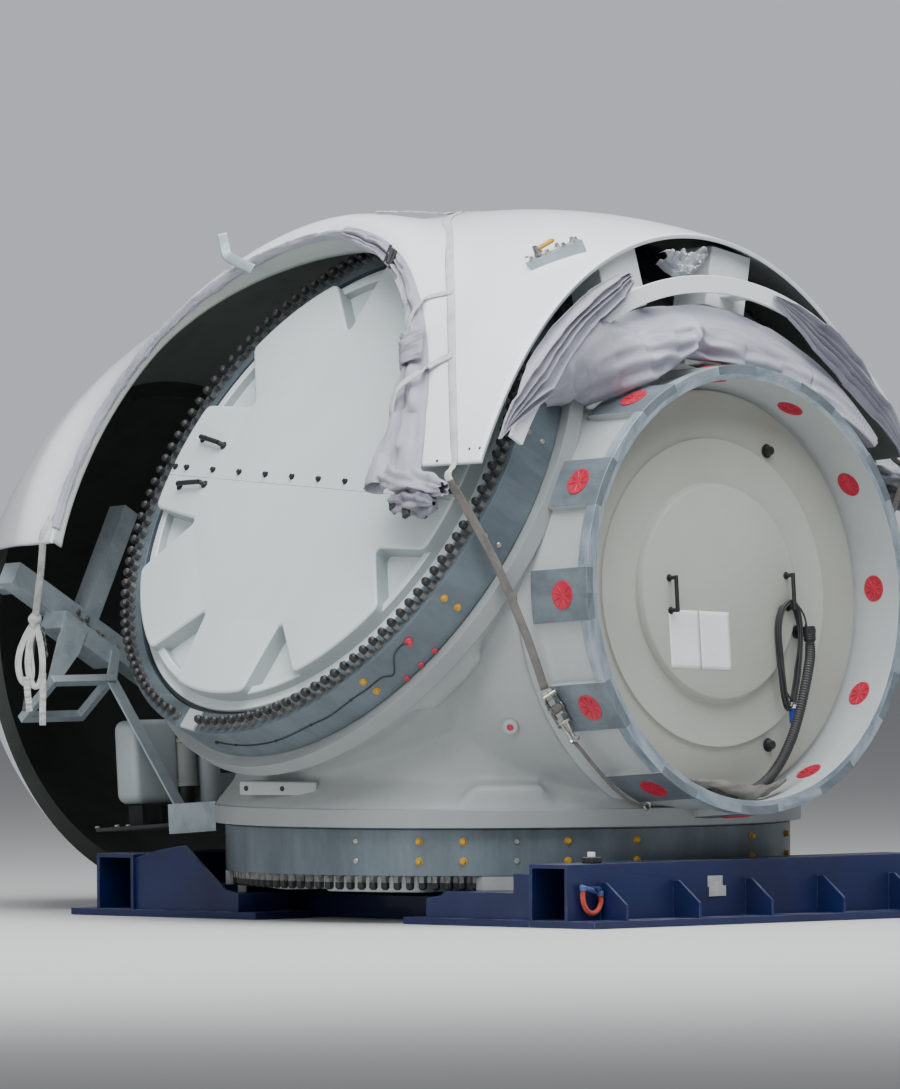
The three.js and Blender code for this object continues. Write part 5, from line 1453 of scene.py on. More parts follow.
# across the strip: share from the outer edge to the inner one, height above the shell
SKIRT_SECTION = [(0.0, 0.004), (0.10, 0.012), (0.25, 0.022), (0.42, 0.020), (0.50, -0.022), (0.58, 0.004),
                 (0.72, 0.016), (0.88, 0.008), (0.97, -0.014), (1.0, -0.045), (0.93, -0.075), (0.80, -0.085)]


def strip_point(side, degrees, radius, height):
    """A point above the shell's lip, by its angle and radius round the opening."""
    angle = math.radians(degrees)
    across, forward = -SIGN[side] * math.sin(angle), -math.cos(angle)
    x, y = across * radius, OPENING_FORWARD + forward * radius
    reach = max(radius, OPENING_RADIUS + 0.006)
    base = shell_height(side, across * reach, OPENING_FORWARD + forward * reach)
    return OUT_OF_ROTOR[side] @ Vector((x, y, base + height))


def in_even_steps(rows):
    """Puts a share in front of each row, in even steps from 0 to 1."""
    return [(index / (len(rows) - 1), *row) for index, row in enumerate(rows)]


def skirt(side):
    """The strip over one opening's edge: across it by u and along it by v."""
    def corner(u, v):
        row = between(SKIRT, v)
        part, height = between(in_even_steps(SKIRT_SECTION), u)
        if part < 0.5:
            first, second, t = row[0:2], row[2:4], part * 2
        else:
            first, second, t = row[2:4], row[4:6], part * 2 - 1
        degrees = first[0] + (second[0] - first[0]) * t
        radius = first[1] + (second[1] - first[1]) * t
        deep = 0.45 + 1.35 * eased(0.3, 0.85, v)
        height = height * (deep if height > 0 else 0.5 + 0.5 * eased(0.3, 0.7, v))
        inside = eased(0.05, 0.2, part)
        height += inside * (crumple((part * 3.0, v * 14, 0), 1.3, 0.016, 2.0)
                            + crumple((part * 4, v * 30, 0), 1.2, 0.006, 4.0))
        radius += inside * crumple((part * 2, v * 11, 0), 1.5, 0.012, 9.0)
        waves = 0.013 * math.sin(46 * v + 9 * part) + 0.009 * math.sin(97 * v - 14 * part)
        ripple = eased(0.35, 0.8, v) * waves
        wander = 7 * noise.noise(Vector((v * 7, 0, 2)))
        ripple += 0.006 * math.sin(23 * part + wander) * (1 - eased(0.3, 0.6, v))
        height += inside * ripple * (1 - abs(2 * part - 1) ** 4)
        return strip_point(side, degrees, radius, max(height, 0.004 if radius > 1.325 else -0.12))
    return corner


for side in SIDES:
    bm = sheet_grid(44, 150, skirt(side))
    cloth_piece(f"skirt_{side}", bm, 2.35, replaces=[f"opening_skirt_{side}"])


def rim_wrap(side):
    """The narrow strip on the rest of the rim."""
    section = [(0.012, 0.002), (0.006, 0.006), (-0.002, 0.006), (-0.008, -0.002), (-0.012, -0.014),
               (-0.014, -0.028), (-0.010, -0.040), (-0.006, -0.044)]

    def corner(u, v):
        out, height = between(in_even_steps(section), u)
        degrees = 80.0 + 112.5 * v
        wide = 1.15 - 0.5 * v + 0.25 * noise.noise(Vector((v * 12, 3, 0)))
        out *= wide if out > 0 else wide * 1.2
        rough = crumple((u * 5, v * 26, 0), 1.0, 0.010, 6.0) + crumple((u * 3, v * 110, 0), 1.0, 0.005, 8.0)
        return strip_point(side, degrees, OPENING_RADIUS + out - abs(rough) * 0.5, max(height + rough, -0.06))
    return corner


for side in SIDES:
    cloth_piece(f"rim_wrap_{side}", sheet_grid(18, 260, rim_wrap(side)), 2.65)
    knot = bmesh.new()
    for degrees in (58.2, 54.8):
        add_rod(knot, strip_point(side, degrees + 1.2, 1.352, 0.020),
                strip_point(side, degrees - 0.8, 1.262, 0.012), 0.008, 10)
    add_rod(knot, strip_point(side, 57.2, 1.345, 0.026), strip_point(side, 55.2, 1.275, 0.020), 0.013, 12)
    soften(piece(f"skirt_tie_{side}", knot, rubber, ROTOR), 0.003)
print("both openings are wrapped")

# %% The skirt's rolled end under the leg
# share, across the face, towards the nose, outwards, half width and half height of the roll
UPPER_ROLL = [
    (0.0, 0.268, -0.960, 1.690, 0.016, 0.024), (0.12, 0.272, -1.010, 1.690, 0.058, 0.044),
    (0.3, 0.280, -1.080, 1.685, 0.075, 0.050), (0.6, 0.305, -1.220, 1.670, 0.070, 0.048),
    (0.85, 0.335, -1.360, 1.650, 0.058, 0.044), (1.0, 0.352, -1.440, 1.640, 0.032, 0.030)]
LOWER_ROLL = [
    (0.0, 0.400, -1.090, 1.665, 0.036, 0.030), (0.15, 0.404, -1.120, 1.655, 0.058, 0.048),
    (0.5, 0.412, -1.220, 1.650, 0.060, 0.054), (0.8, 0.418, -1.320, 1.640, 0.056, 0.050),
    (0.95, 0.426, -1.375, 1.635, 0.042, 0.038), (1.0, 0.428, -1.390, 1.632, 0.012, 0.012)]


def roll(side, stations, phase):
    """A rolled-up end: round it by u and along it by v."""
    def corner(u, v):
        x, y, out, wide, high = between(stations, v)
        turn = math.tau * u
        fold = 1 + 0.14 * math.sin(5 * turn + 5 * v + phase) + 0.10 * math.sin(9 * turn - 7 * v)
        fold += crumple((math.cos(turn), math.sin(turn), v * 5), 1.4, 0.5, 5.0 + phase)
        x += wide * fold * math.sin(turn)
        return OUT_OF_ROTOR[side] @ Vector((SIGN[side] * x, y, out + high * fold * math.cos(turn)))
    return corner


# A darker copy of the cloth for the lower roll under the leg: painted shade.
shaded_cloth = paint("shaded_cloth", (138, 138, 150), (96, 96, 108), rough=0.8, size=9.0, amount=0.8,
                  weave=260.0, sheen=0.2, grain=(180.0, 0.3, 0.001))
# The lower roll takes the darker cloth, which is painted shade.
for side in SIDES:
    for name, stations, replaced in (("skirt_roll", UPPER_ROLL, [f"skirt_bundle_{side}"]),
                                     ("skirt_end", LOWER_ROLL, [])):
        bm = closed(sheet_grid(48, 50, roll(side, stations, len(replaced))))
        cloth_piece(f"{name}_{side}", bm, stations[0][2] - stations[-1][2],
                    finish=cloth if replaced else shaded_cloth, replaces=replaced)
    blocks = bmesh.new()
    for x, y in ((0.425, -1.120), (0.480, -1.250)):
        place = OUT_OF_ROTOR[side] @ Matrix.Translation((SIGN[side] * x, y, 1.680))
        add_box(blocks, (-0.042, -0.020, -0.012), (0.042, 0.020, 0.012), place @ Matrix.Rotation(0.5, 4, "Z"))
    soften(piece(f"skirt_buckles_{side}", blocks, rubber, ROTOR), 0.004)
print("skirts rolled up")

# %% [markdown]
# ## Lashing
# A white webbing strap runs over the shell and is pulled tight with a ratchet beside the collar. Each
# strap is a flat band laid along a smooth line, with its flat side turned to face a given way, so it can
# twist from lying on the shell to hanging edge-on. The part below the shell has gone grey and brown.

# %% Strap helper
STRAP_WIDTH = 0.045


def strap(name, points, facing, width, finishes, thickness=0.0035, replaces=(), count=90,
          dirty_from=1.1, ripple=0.002):
    """A flat band of webbing along a smooth line; facing(spot, share) says which way its flat side looks."""
    line = smooth_line(points, count)

    def corner(u, v):
        index = round(v * (count - 1))
        spot = line[index]
        along = (line[min(index + 1, count - 1)] - line[max(index - 1, 0)]).normalized()
        out = facing(spot, v)
        side = along.cross(out).normalized()
        out = side.cross(along)
        wave = ripple * noise.noise(Vector((v * 14, u * 1.5, len(name))))
        return spot + side * (u - 0.5) * width + out * (wave + 0.05 * width * (1 - (2 * u - 1) ** 2))

    bm = sheet_grid(6, count - 1, corner)
    scale_uv(bm, width, length_of(line))
    for face in bm.faces:
        share = sum(loop[bm.loops.layers.uv["along"]].uv[1] for loop in face.loops) / 4 / length_of(line)
        face.material_index = 1 if share > dirty_from else 0
    made = piece(name, bm, finishes, ROTOR, replaces=replaces, crease=70)
    thicken(made, thickness)
    return made


def outwards(spot, share=0):
    """The way out from the shaft."""
    return Vector((spot.x, 0, spot.z)).normalized()


def towards(x, y, z):
    """One fixed way for the whole of a strap."""
    return lambda spot, share: Vector((x, y, z)).normalized()


def mirrored(points):
    """The same line on the other side of the hub."""
    return [Vector((-point.x, point.y, point.z)) for point in points]


# degrees round the rotor, and Y
ON_SHELL = [(90, 0.060), (96, 0.010), (103, -0.180), (107, -0.330), (113.5, -0.540), (119.5, -0.700),
            (124.5, -0.820), (129.5, -0.920), (134.5, -1.009), (139.5, -1.090), (144.2, -1.161),
            (151.8, -1.257), (156.5, -1.303)]
on_shell = [shell_point(y, degrees, 0.0035) for degrees, y in ON_SHELL]
to_ratchet = [Vector(spot) for spot in (
    (-1.624, -1.312, 0.640), (-1.612, -1.322, 0.585), (-1.540, -1.340, 0.470), (-1.360, -1.362, 0.165),
    (-1.190, -1.376, -0.200), (-1.096, -1.390, -0.466))]
print("strap from the top to the ratchet:", round(length_of(on_shell + to_ratchet), 2), "m")

# %% The strap, left and right


def lashing_facing(spot, share):
    """Flat on the shell, then turned towards the back."""
    turn = eased(0.66, 0.80, share)
    return (outwards(spot) * (1 - turn) + Vector((spot.x * 0.35, -1, 0)).normalized() * turn).normalized()


dirty_webbing = [white_webbing, grey_webbing]
strap("lashing_left", on_shell + to_ratchet, lashing_facing, STRAP_WIDTH, dirty_webbing,
      replaces=["lashing_strap"], count=150, dirty_from=0.70)
down_right = [round_the_shaft(1.190, degrees, y) for degrees, y in (
    (211, -1.405), (218.5, -1.420), (228, -1.430), (237.5, -1.415), (247.8, -1.412))]
strap("lashing_right", mirrored(on_shell + to_ratchet[:-1] + down_right), lashing_facing, STRAP_WIDTH,
      dirty_webbing, count=190, dirty_from=0.52)
tail_line = [Vector((-0.934, -1.420, -0.738)), *[round_the_shaft(1.186, degrees, y) for degrees, y in (
    (223.0, -1.427), (228, -1.430), (233, -1.424), (237.5, -1.415), (243.0, -1.412))],
    round_the_shaft(1.164, 247.0, -1.412)]
strap("lashing_tail_left", tail_line, outwards, 0.030, [grey_webbing], replaces=["lashing_tail"], count=60)
rings = bmesh.new()
for flip in (1, -1):
    eye = round_the_shaft(1.160, 247.8, -1.412)
    eye.x *= flip
    add_shape(rings, torus(0.020, 0.006, 8, 24), Matrix.Translation(eye) @ turned(90, "X"))
piece("lashing_eyes", rings, bright_steel, ROTOR)
print("straps on both sides")

# %% Ratchet
start, end = Vector((-1.090, -1.390, -0.476)), Vector((-0.931, -1.420, -0.741))
along = (end - start).normalized()
away = Vector((-0.5, -1, 0))
outward = (away - along * along.dot(away)).normalized()
ratchet_place = Matrix((along, outward.cross(along), outward)).transposed().to_4x4()
ratchet_place.translation = start
steel_parts, dark_parts = bmesh.new(), bmesh.new()
for y in (-0.033, 0.033):
    add_box(dark_parts, (0.045, y - 0.002, -0.012), (0.205, y + 0.002, 0.020))
    add_box(dark_parts, (0.020, y * 0.8 - 0.0015, 0.006), (0.155, y * 0.8 + 0.0015, 0.030))
    add_rod(dark_parts, (0.105, y - 0.003, 0.006), (0.105, y + 0.003, 0.006), 0.028, 24)
for x, height, radius in ((0.048, 0.0, 0.007), (0.190, 0.0, 0.009), (0.022, 0.018, 0.010)):
    add_rod(steel_parts, (x, -0.038, height), (x, 0.038, height), radius, 14)
add_rod(steel_parts, (0.105, -0.040, 0.006), (0.105, 0.040, 0.006), 0.013, 16)
add_box(steel_parts, (0.000, -0.026, 0.010), (0.030, 0.026, 0.022))
add_box(steel_parts, (0.128, -0.024, -0.004), (0.142, 0.024, 0.012))
for y in (-0.017, 0.017):
    add_rod(steel_parts, (0.190, y, 0.0), (0.275, y * 0.5, 0.004), 0.0095, 12)
    add_rod(steel_parts, (0.275, y * 0.5, 0.004), (0.300, y * 1.1, 0.016), 0.0095, 12)
    add_rod(steel_parts, (0.300, y * 1.1, 0.016), (0.285, y * 1.3, 0.030), 0.008, 12)
wound = lathe([(0.008, -0.024), (0.023, -0.024), (0.023, 0.024), (0.008, 0.024)], 28)
webbing_roll = bmesh.new()
add_shape(webbing_roll, wound, Matrix.Translation((0.105, 0, 0.006)) @ turned(90, "X"))
soften(piece("ratchet_frame", dark_parts, stud_steel, ROTOR @ ratchet_place,
             replaces=["lashing_ratchet"]), 0.001)
soften(piece("ratchet_bars", steel_parts, bright_steel, ROTOR @ ratchet_place), 0.002)
piece("ratchet_webbing", webbing_roll, grey_webbing, ROTOR @ ratchet_place)
print("ratchet", round((end - start).length, 3), "m long")

# %% Tie tapes from the strap round the skirt


def by_bearing(side, x, forward, out):
    """A point in a bearing's coordinates, given in rotor coordinates."""
    return OUT_OF_ROTOR[side] @ Vector((x, OPENING_FORWARD + forward, out))


def tape_line(on_shell, over_edge):
    """A tape's line: points on the shell, then points over the left bearing."""
    return [shell_point(*spot) for spot in on_shell] + [by_bearing("left", *spot) for spot in over_edge]


TAPES = {
    "upper": (tape_line([(-0.812, 123.3, 0.012), (-0.717, 124.62, 0.010), (-0.680, 125.7, 0.014)],
                        [(0.737, -1.162, 1.742), (0.700, -1.142, 1.745), (0.619, -1.135, 1.742),
                         (0.572, -1.134, 1.730), (0.555, -1.110, 1.700)]), 0.026),
    "lower": (tape_line([(-1.040, 135.7, 0.012), (-0.972, 136.95, 0.012), (-0.928, 138.9, 0.030)],
                        [(0.298, -1.411, 1.768), (0.229, -1.305, 1.775), (0.163, -1.275, 1.768),
                         (0.095, -1.262, 1.745), (0.075, -1.235, 1.705)]), 0.042)}
left_way = OUT_OF_ROTOR["left"].col[2].to_3d().normalized()
for name, (points, width) in TAPES.items():
    strap(f"tie_tape_{name}", points, towards(*left_way), width, [white_webbing], 0.0025, count=50)
    strap(f"tie_tape_{name}_right", mirrored(points), towards(-left_way.x, *left_way.yz), width,
          [white_webbing], 0.0025, count=50)
print("four tie tapes")

# %% Skirt flaps and the strap's loose end
flap = tape_line([], [(0.575, -1.205, 1.750), (0.50, -1.235, 1.762), (0.44, -1.262, 1.760),
                      (0.385, -1.272, 1.748)])
for side, points in (("left", flap), ("right", mirrored(flap))):
    made = strap(f"skirt_flap_{side}", points, outwards, 0.150, [cloth], 0.0022,
                 count=24, ripple=0.02)
    round(1.29 * length_of(smooth_line(points, 24)), 3)
loose = [shell_point(0.060, 92, 0.005), shell_point(0.062, 97, 0.016), shell_point(0.10, 102, 0.030),
         shell_point(0.155, 107, 0.012)]
strap("strap_end", loose, outwards, 0.040, [white_webbing], count=30, ripple=0.008)
print("two flaps and a strap end")

# %% The tie at the front of the shell
front = [shell_point(1.790, 157.6, 0.005), shell_point(1.805, 159.4, 0.006), shell_point(1.820, 161.4, 0.008),
         Vector((-1.536, 1.836, 0.440)), Vector((-1.470, 1.930, 0.330)), Vector((-1.400, 2.040, 0.200)),
         Vector((-1.356, 2.112, 0.110))]
strap("front_strap", front, towards(-0.9, -1, 0.1), 0.036, [white_webbing], replaces=["front_tie_strap"],
      count=70, ripple=0.010)
knot_at = Vector((-1.350, 2.124, 0.080))
across = Vector((0.7213, -0.6926, 0))
knot = bmesh.new()
bmesh.ops.create_icosphere(knot, subdivisions=4, radius=0.034, matrix=Matrix.Translation(knot_at)
                           @ Matrix.Diagonal((1.0, 0.8, 1.3, 1)))
for corner in knot.verts:
    corner.co += crumple(corner.co, 26, 0.022, 3.0) * (corner.co - knot_at).normalized()
piece("front_knot", knot, white_webbing, ROTOR)
LOOPS = {
    "near": ((0.0, 0.0), (-0.030, -0.040), (-0.078, -0.130), (-0.098, -0.220), (-0.084, -0.300),
             (-0.050, -0.320), (-0.030, -0.260), (-0.034, -0.140), (-0.016, -0.020)),
    "far": ((-0.010, -0.010), (0.004, -0.070), (0.016, -0.170), (0.012, -0.270), (-0.012, -0.335),
            (-0.045, -0.320), (-0.060, -0.220), (-0.044, -0.110), (-0.016, -0.020)),
    "end_left": ((-0.080, -0.285), (-0.082, -0.350), (-0.078, -0.410), (-0.077, -0.465)),
    "end_right": ((-0.010, -0.270), (-0.014, -0.360), (-0.020, -0.450), (-0.024, -0.540))}
for index, (name, places) in enumerate(LOOPS.items()):
    points = [knot_at + across * x + Vector((0.004 * index, -0.014 * index, z)) for x, z in places]
    strap(f"front_loop_{name}", points, towards(-0.69, -0.72, 0.25), 0.034, [white_webbing], 0.003, count=44,
          ripple=0.010)
strap("front_lashing", [knot_at + Vector((0.006, 0.01, -0.02)), knot_at + Vector((0.024, 0.060, -0.150)),
                        Vector((-1.290, 2.260, -0.240)), Vector((-1.262, 2.332, -0.376))],
      towards(-0.9, -1, 0.1), 0.030, [grey_webbing], count=36, ripple=0.004)
print("front tie with its knot and loops")

# %% [markdown]
# ## Small things on the hub
# A wrap of cloth closes the hose's end, a sensor lead runs round the left ring, and a lifting boss is
# cast on the body.

# %% Hose wrap
WRAP_Y, WRAP_ROWS, WRAP_LIMIT, WRAP_FULLNESS = -1.668, 89, 1.070, 0.98995
WRAP = [(0.300, -0.965, 0.012), (0.240, -0.990, 0.040), (0.120, -1.020, 0.048), (0.020, -1.036, 0.046),
        (-0.090, -1.010, 0.040), (-0.220, -0.985, 0.026), (-0.330, -0.965, 0.016), (-0.400, -0.950, 0.006)]
wrap_line = smooth_line([(x, WRAP_Y, z) for x, z, radius in WRAP], WRAP_ROWS + 1)
wrap_radius = smooth_line([(radius, 0, 0) for x, z, radius in WRAP], WRAP_ROWS + 1)


def wrap_corner(u, v):
    """Round the wrap by u and along it by v, kept inside the collar's bore."""
    index = round(v * WRAP_ROWS)
    turn = math.tau * u
    radius = max(wrap_radius[index].x, 0.005)
    fold = 1 + 0.20 * noise.noise(Vector((math.cos(turn) * 1.5, math.sin(turn) * 1.5, v * 13)))
    fold += 0.06 * math.sin(5 * turn + 30 * v)
    spot = wrap_line[index] + Vector((0.3, -math.cos(turn), math.sin(turn))) * radius * fold * WRAP_FULLNESS
    reach = math.hypot(spot.x, spot.z)
    if reach > WRAP_LIMIT:
        spot.x, spot.z = spot.x * WRAP_LIMIT / reach, spot.z * WRAP_LIMIT / reach
    return spot


bm = closed(sheet_grid(28, WRAP_ROWS, wrap_corner))
cloth_piece("hose_wrap", bm, 0.72, finish=grey_webbing)

# %% Sensor lead
SENSOR_REACH = 1.4590
# angle from the nose side, and height along the ring
SENSOR_LEAD = [
    (-136.6, 1.271), (-135.9, 1.275), (-133.7, 1.271), (-132.3, 1.246), (-130.2, 1.188), (-129.2, 1.180),
    (-127.5, 1.213), (-123.3, 1.216), (-119.3, 1.221), (-112.7, 1.208), (-107.9, 1.215), (-101.9, 1.207),
    (-97.2, 1.200), (-91.0, 1.205), (-85.7, 1.221), (-80.4, 1.246)]
around_ring = [ring_spot(-137.0, 1.475, 1.263)]
around_ring += [ring_spot(alpha, SENSOR_REACH, height) for alpha, height in SENSOR_LEAD[1:]]
sensor_line = smooth_line([BEARINGS["left"] @ spot for spot in around_ring], 120)
for index, spot in enumerate(sensor_line):
    x, y, z = BEARINGS["left"].inverted() @ spot
    reach = math.hypot(x, y)
    if reach < SENSOR_REACH:
        x, y = x * SENSOR_REACH / reach, y * SENSOR_REACH / reach
        sensor_line[index] = BEARINGS["left"] @ Vector((x, y, z))
sensor = piece("sensor_lead", tube(sensor_line, lambda i: 0.0035, 8), cable_rubber,
               crease=60)
clips = bmesh.new()
for alpha, out in SENSOR_LEAD[8::2]:
    add_shape(clips, turned_plug(0.0075, 0.009), ring_place("left", alpha, out))
clip_piece = piece("sensor_clips", clips, rubber)
sensor_end = bmesh.new()
add_shape(sensor_end, turned_plug(0.010, 0.012), ring_place("left", *SENSOR_LEAD[-1]))
sensor_socket = piece("sensor_socket", sensor_end, rubber)
print("sensor lead:", round(length_of(sensor_line), 2), "m")

# %% Lifting boss
boss_place = Vector((-0.74, -0.58, -0.34)).to_track_quat("Z", "Y").to_matrix().to_4x4()
boss_place.translation = (-1.058, -1.129, 1.010)
bm = lathe([(0.018, -0.03), (0.044, -0.03), (0.040, 0.022), (0.032, 0.027), (0.018, 0.027)], 32)
soften(piece("cast_boss", bm, machined_paint, boss_place), 0.002)
piece("boss_plug", lathe([(0, 0.0), (0.019, 0.0), (0.019, 0.020), (0, 0.021)], 24), plug_plastic,
      boss_place)
print("boss at", short(boss_place.translation))

# %% [markdown]
# ## Steelwork in the nose
# Behind the left opening stand zinc-coated arms, a step frame and a flat strut. They are cut and welded
# from plate and bar, so their shapes in the solid model are already right and only their edges are too
# sharp. A welded copy of each solid gets its coplanar triangles joined and a small live bevel. The tray's
# copy is cut off behind its thick block, and a thin dark sheet, which is painted shade, takes the place of
# the rest.

# %% Copies with rounded edges


def dressed_copy(node, name, finish, width):
    """A copy of a solid of the model with small rounded edges, which takes the solid's place."""
    bm = solid_copy(node)
    join_flat(bm)
    return soften(piece(name, bm, finish, replaces=[node]), width)


def give_second_finish(corners):
    """Gives the faces round some corners their piece's second finish."""
    for face in {face for corner in corners for face in corner.link_faces}:
        face.material_index = 1


dressed_copy("nose_frame", "nose_arms", zinc, 0.004)
dressed_copy("nose_step", "step_frame", zinc, 0.002)
bm = short_copy("equipment_tray", (0, 1.56, 0), (0, 1, 0), ROTOR)
# The rest of the tray is a thin dark sheet: painted shade under the machines.
sheet = add_box(bm, (-0.900, 1.5602, -1.018), (-0.180, 2.228, -1.000))
give_second_finish(sheet)
soften(piece("machine_tray", bm, [zinc, cable_rubber], ROTOR,
             replaces=["equipment_tray"]), 0.003)
print("nose steelwork dressed")

# %% Bolts on the arm and the tray
ARM_FACE, TRAY_TOP = 2.240, -0.9996
arm_bolts = bmesh.new()
for x, z in ((-0.937, 0.130), (-0.878, 0.092), (-0.926, 0.083), (-0.879, 0.051), (-0.810, 0.018),
             (-0.776, -0.003), (-0.673, -0.057)):
    add_rod(arm_bolts, (x, ARM_FACE, z), (x, ARM_FACE - 0.004, z), 0.017, 16)
    add_rod(arm_bolts, (x, ARM_FACE - 0.004, z), (x, ARM_FACE - 0.016, z), 0.012, 6)
for x, y in ((-0.940, 2.170), (-0.940, 2.020), (-0.860, 2.020), (-0.560, 2.020), (-0.480, 2.020),
             (-0.205, 2.180)):
    add_rod(arm_bolts, (x, y, -0.9999), (x, y, -0.990), 0.014, 6)
soften(piece("arm_bolts", arm_bolts, bright_steel, ROTOR), 0.0015)
print("thirteen bolts")

# %% [markdown]
# ## The machines on the tray
# A white moulded cabinet, a motor and a small tank stand on a tray in front of the bottom bearing. The
# cabinet is a box with large round corners and soft front edges. The motor and the tank are turned.

# %% Cabinet
bm = bmesh.new()
add_box(bm, (-0.761, 2.050, -0.880), (-0.446, 2.215, -0.445))
corners = [edge for edge in bm.edges if abs((edge.verts[0].co - edge.verts[1].co).normalized().y) > 0.9]
bmesh.ops.bevel(bm, geom=corners, offset=0.056, segments=8, profile=0.5, affect="EDGES", material=-1)
rims = [edge for edge in bm.edges if edge.calc_face_angle(0) > 1.2]
bmesh.ops.bevel(bm, geom=rims, offset=0.034, segments=5, profile=0.5, affect="EDGES", material=-1)
for x in (-0.700, -0.560):
    feet = add_box(bm, (x, 2.080, TRAY_TOP), (x + 0.030, 2.185, -0.890))
    give_second_finish(feet)
cabinet = piece("cabinet", bm, [cabinet_paint, black_plastic], ROTOR,
                replaces=["equipment_cabinet"])
print("cabinet:", len(cabinet.data.polygons), "faces")

# %% Motor, tank and eye bolt
motor = lathe([(0, TRAY_TOP), (0.052, TRAY_TOP), (0.052, -0.984), (0.045, -0.980), (0.045, -0.880),
               (0.058, -0.850), (0.058, -0.803), (0.066, -0.800), (0.066, -0.786), (0.062, -0.782),
               (0.062, -0.575), (0.066, -0.571), (0.066, -0.556), (0.054, -0.544), (0, -0.540)], 64)
for face in motor.faces:
    face.material_index = 1 if face.calc_center_median().z < -0.801 else 0
soften(piece("motor", motor, [grey_plastic, black_plastic], ROTOR @ Matrix.Translation((-0.392, 2.070, 0)),
             replaces=["pump_motor"]), 0.002)
tank = lathe([(0, TRAY_TOP), (0.048, TRAY_TOP), (0.048, -0.990), (0.036, -0.985), (0.036, -0.915),
              (0.056, -0.908), (0.072, -0.890), (0.076, -0.868), (0.076, -0.640), (0.072, -0.616),
              (0.056, -0.596), (0.020, -0.587), (0.014, -0.585), (0, -0.585)], 64)
for face in tank.faces:
    face.material_index = 1 if face.calc_center_median().z < -0.912 else 0
soften(piece("tank", tank, [cabinet_paint, black_plastic], ROTOR @ Matrix.Translation((-0.245, 2.070, 0)),
             replaces=["pump_tank"]), 0.002)
bm = bmesh.new()
add_shape(bm, torus(0.021, 0.0065, 8, 28), Matrix.Translation((-0.300, 2.000, -0.937)) @ turned(90, "X"))
add_rod(bm, (-0.300, 2.000, -0.9998), (-0.300, 2.000, -0.955), 0.008, 12)
add_rod(bm, (-0.300, 2.000, -0.9998), (-0.300, 2.000, -0.992), 0.020, 24)
piece("eye_bolt", bm, yellow_plastic, ROTOR, crease=50)
print("motor, tank and eye bolt stand on the tray")

# %% [markdown]
# ## The transport frame
# The frame is welded from thick plate and painted dark blue, with the paint rubbed light on its edges and
# dust on its top faces. Its solids are right, so they are dressed the same way. Only the front supports
# have a lower web than their solids, so their copies are cut above the flange and the web is added.

# %% Frame beams, supports and blocks
FLANGE_TOP = 0.1702
for name in ("front_girder", "rear_girder", "side_beam_left", "side_beam_right", "cross_beam"):
    dressed_copy(f"frame_{name}", name, frame_paint, 0.004)
for side in SIDES:
    dressed_copy(f"frame_support_rear_{side}", f"support_rear_{side}", frame_paint, 0.004)
    for end in ("front", "rear"):
        dressed_copy(f"support_block_{end}_{side}", f"block_{end}_{side}", grey_plastic,
                     0.003)
    bm = short_copy(f"frame_support_front_{side}", (0, 0, FLANGE_TOP), (0, 0, 1))
    inner, outer = sorted((SIGN[side] * 1.23, SIGN[side] * 1.25))
    add_box(bm, (inner, -1.474, FLANGE_TOP), (outer, -1.340, 0.268))
    soften(piece(f"support_front_{side}", bm, frame_paint,
                 replaces=[f"frame_support_front_{side}"]), 0.004)
print("transport frame dressed")

# %% Packer and bare plates
# Two small bare plates are fixed on the girder.
bm = bmesh.new()
add_box(bm, (-1.034, -1.690, 0.3204), (-0.960, -1.612, 0.352))
soften(piece("packer", bm, rubber, replaces=["girder_packer"]), 0.006)
bm = bmesh.new()
add_box(bm, (-1.020, -1.672, 0.3524), (-0.992, -1.640, 0.378))
soften(piece("packer_shim", bm, white_plastic), 0.003)
bar_paint = paint("rubbed_frame_paint", (74, 92, 140), (40, 56, 108), rough=0.4, size=18.0, amount=0.8,
                  dust=0.3)
plain_plate = paint("plain_plate", (182, 184, 182), (146, 148, 146), rough=0.45, metal=0.2, size=16.0,
                    amount=0.8)
bm = bmesh.new()
add_box(bm, (-0.279, -1.7548, 0.184), (-0.173, -1.7522, 0.241))
add_box(bm, (-0.272, -1.7572, 0.136), (-0.152, -1.7546, 0.190))
soften(piece("girder_plates", bm, plain_plate), 0.001)
print("packer and two bare plates on the front girder")

# %% Sling
# The sling is a loop of round webbing, held at both ends by a little bar that lies over the pin.
SLING_RADIUS, SLING_Y = 0.0125, -1.779
sling_line = smooth_line([(x, SLING_Y, z) for x, z in (
    (-1.184, 0.190), (-1.187, 0.165), (-1.182, 0.130), (-1.165, 0.098), (-1.137, 0.077), (-1.106, 0.075),
    (-1.078, 0.092), (-1.062, 0.120), (-1.060, 0.146), (-1.064, 0.170))], 60)
sling = piece("sling", tube(sling_line, lambda i: SLING_RADIUS, 18), sling_webbing,
              replaces=["lifting_sling"], crease=60)
bm = bmesh.new()
add_rod(bm, (-1.200, SLING_Y, 0.209), (-1.052, SLING_Y, 0.172), SLING_RADIUS, 20)
add_rod(bm, (-1.184, SLING_Y, 0.186), (-1.184, SLING_Y, 0.212), 0.018, 20)
add_rod(bm, (-1.064, SLING_Y, 0.158), (-1.064, SLING_Y, 0.184), 0.018, 20)
sling_bar = soften(piece("sling_bar", bm, bar_paint), 0.003)
print("sling:", round(length_of(sling_line), 3), "m round")
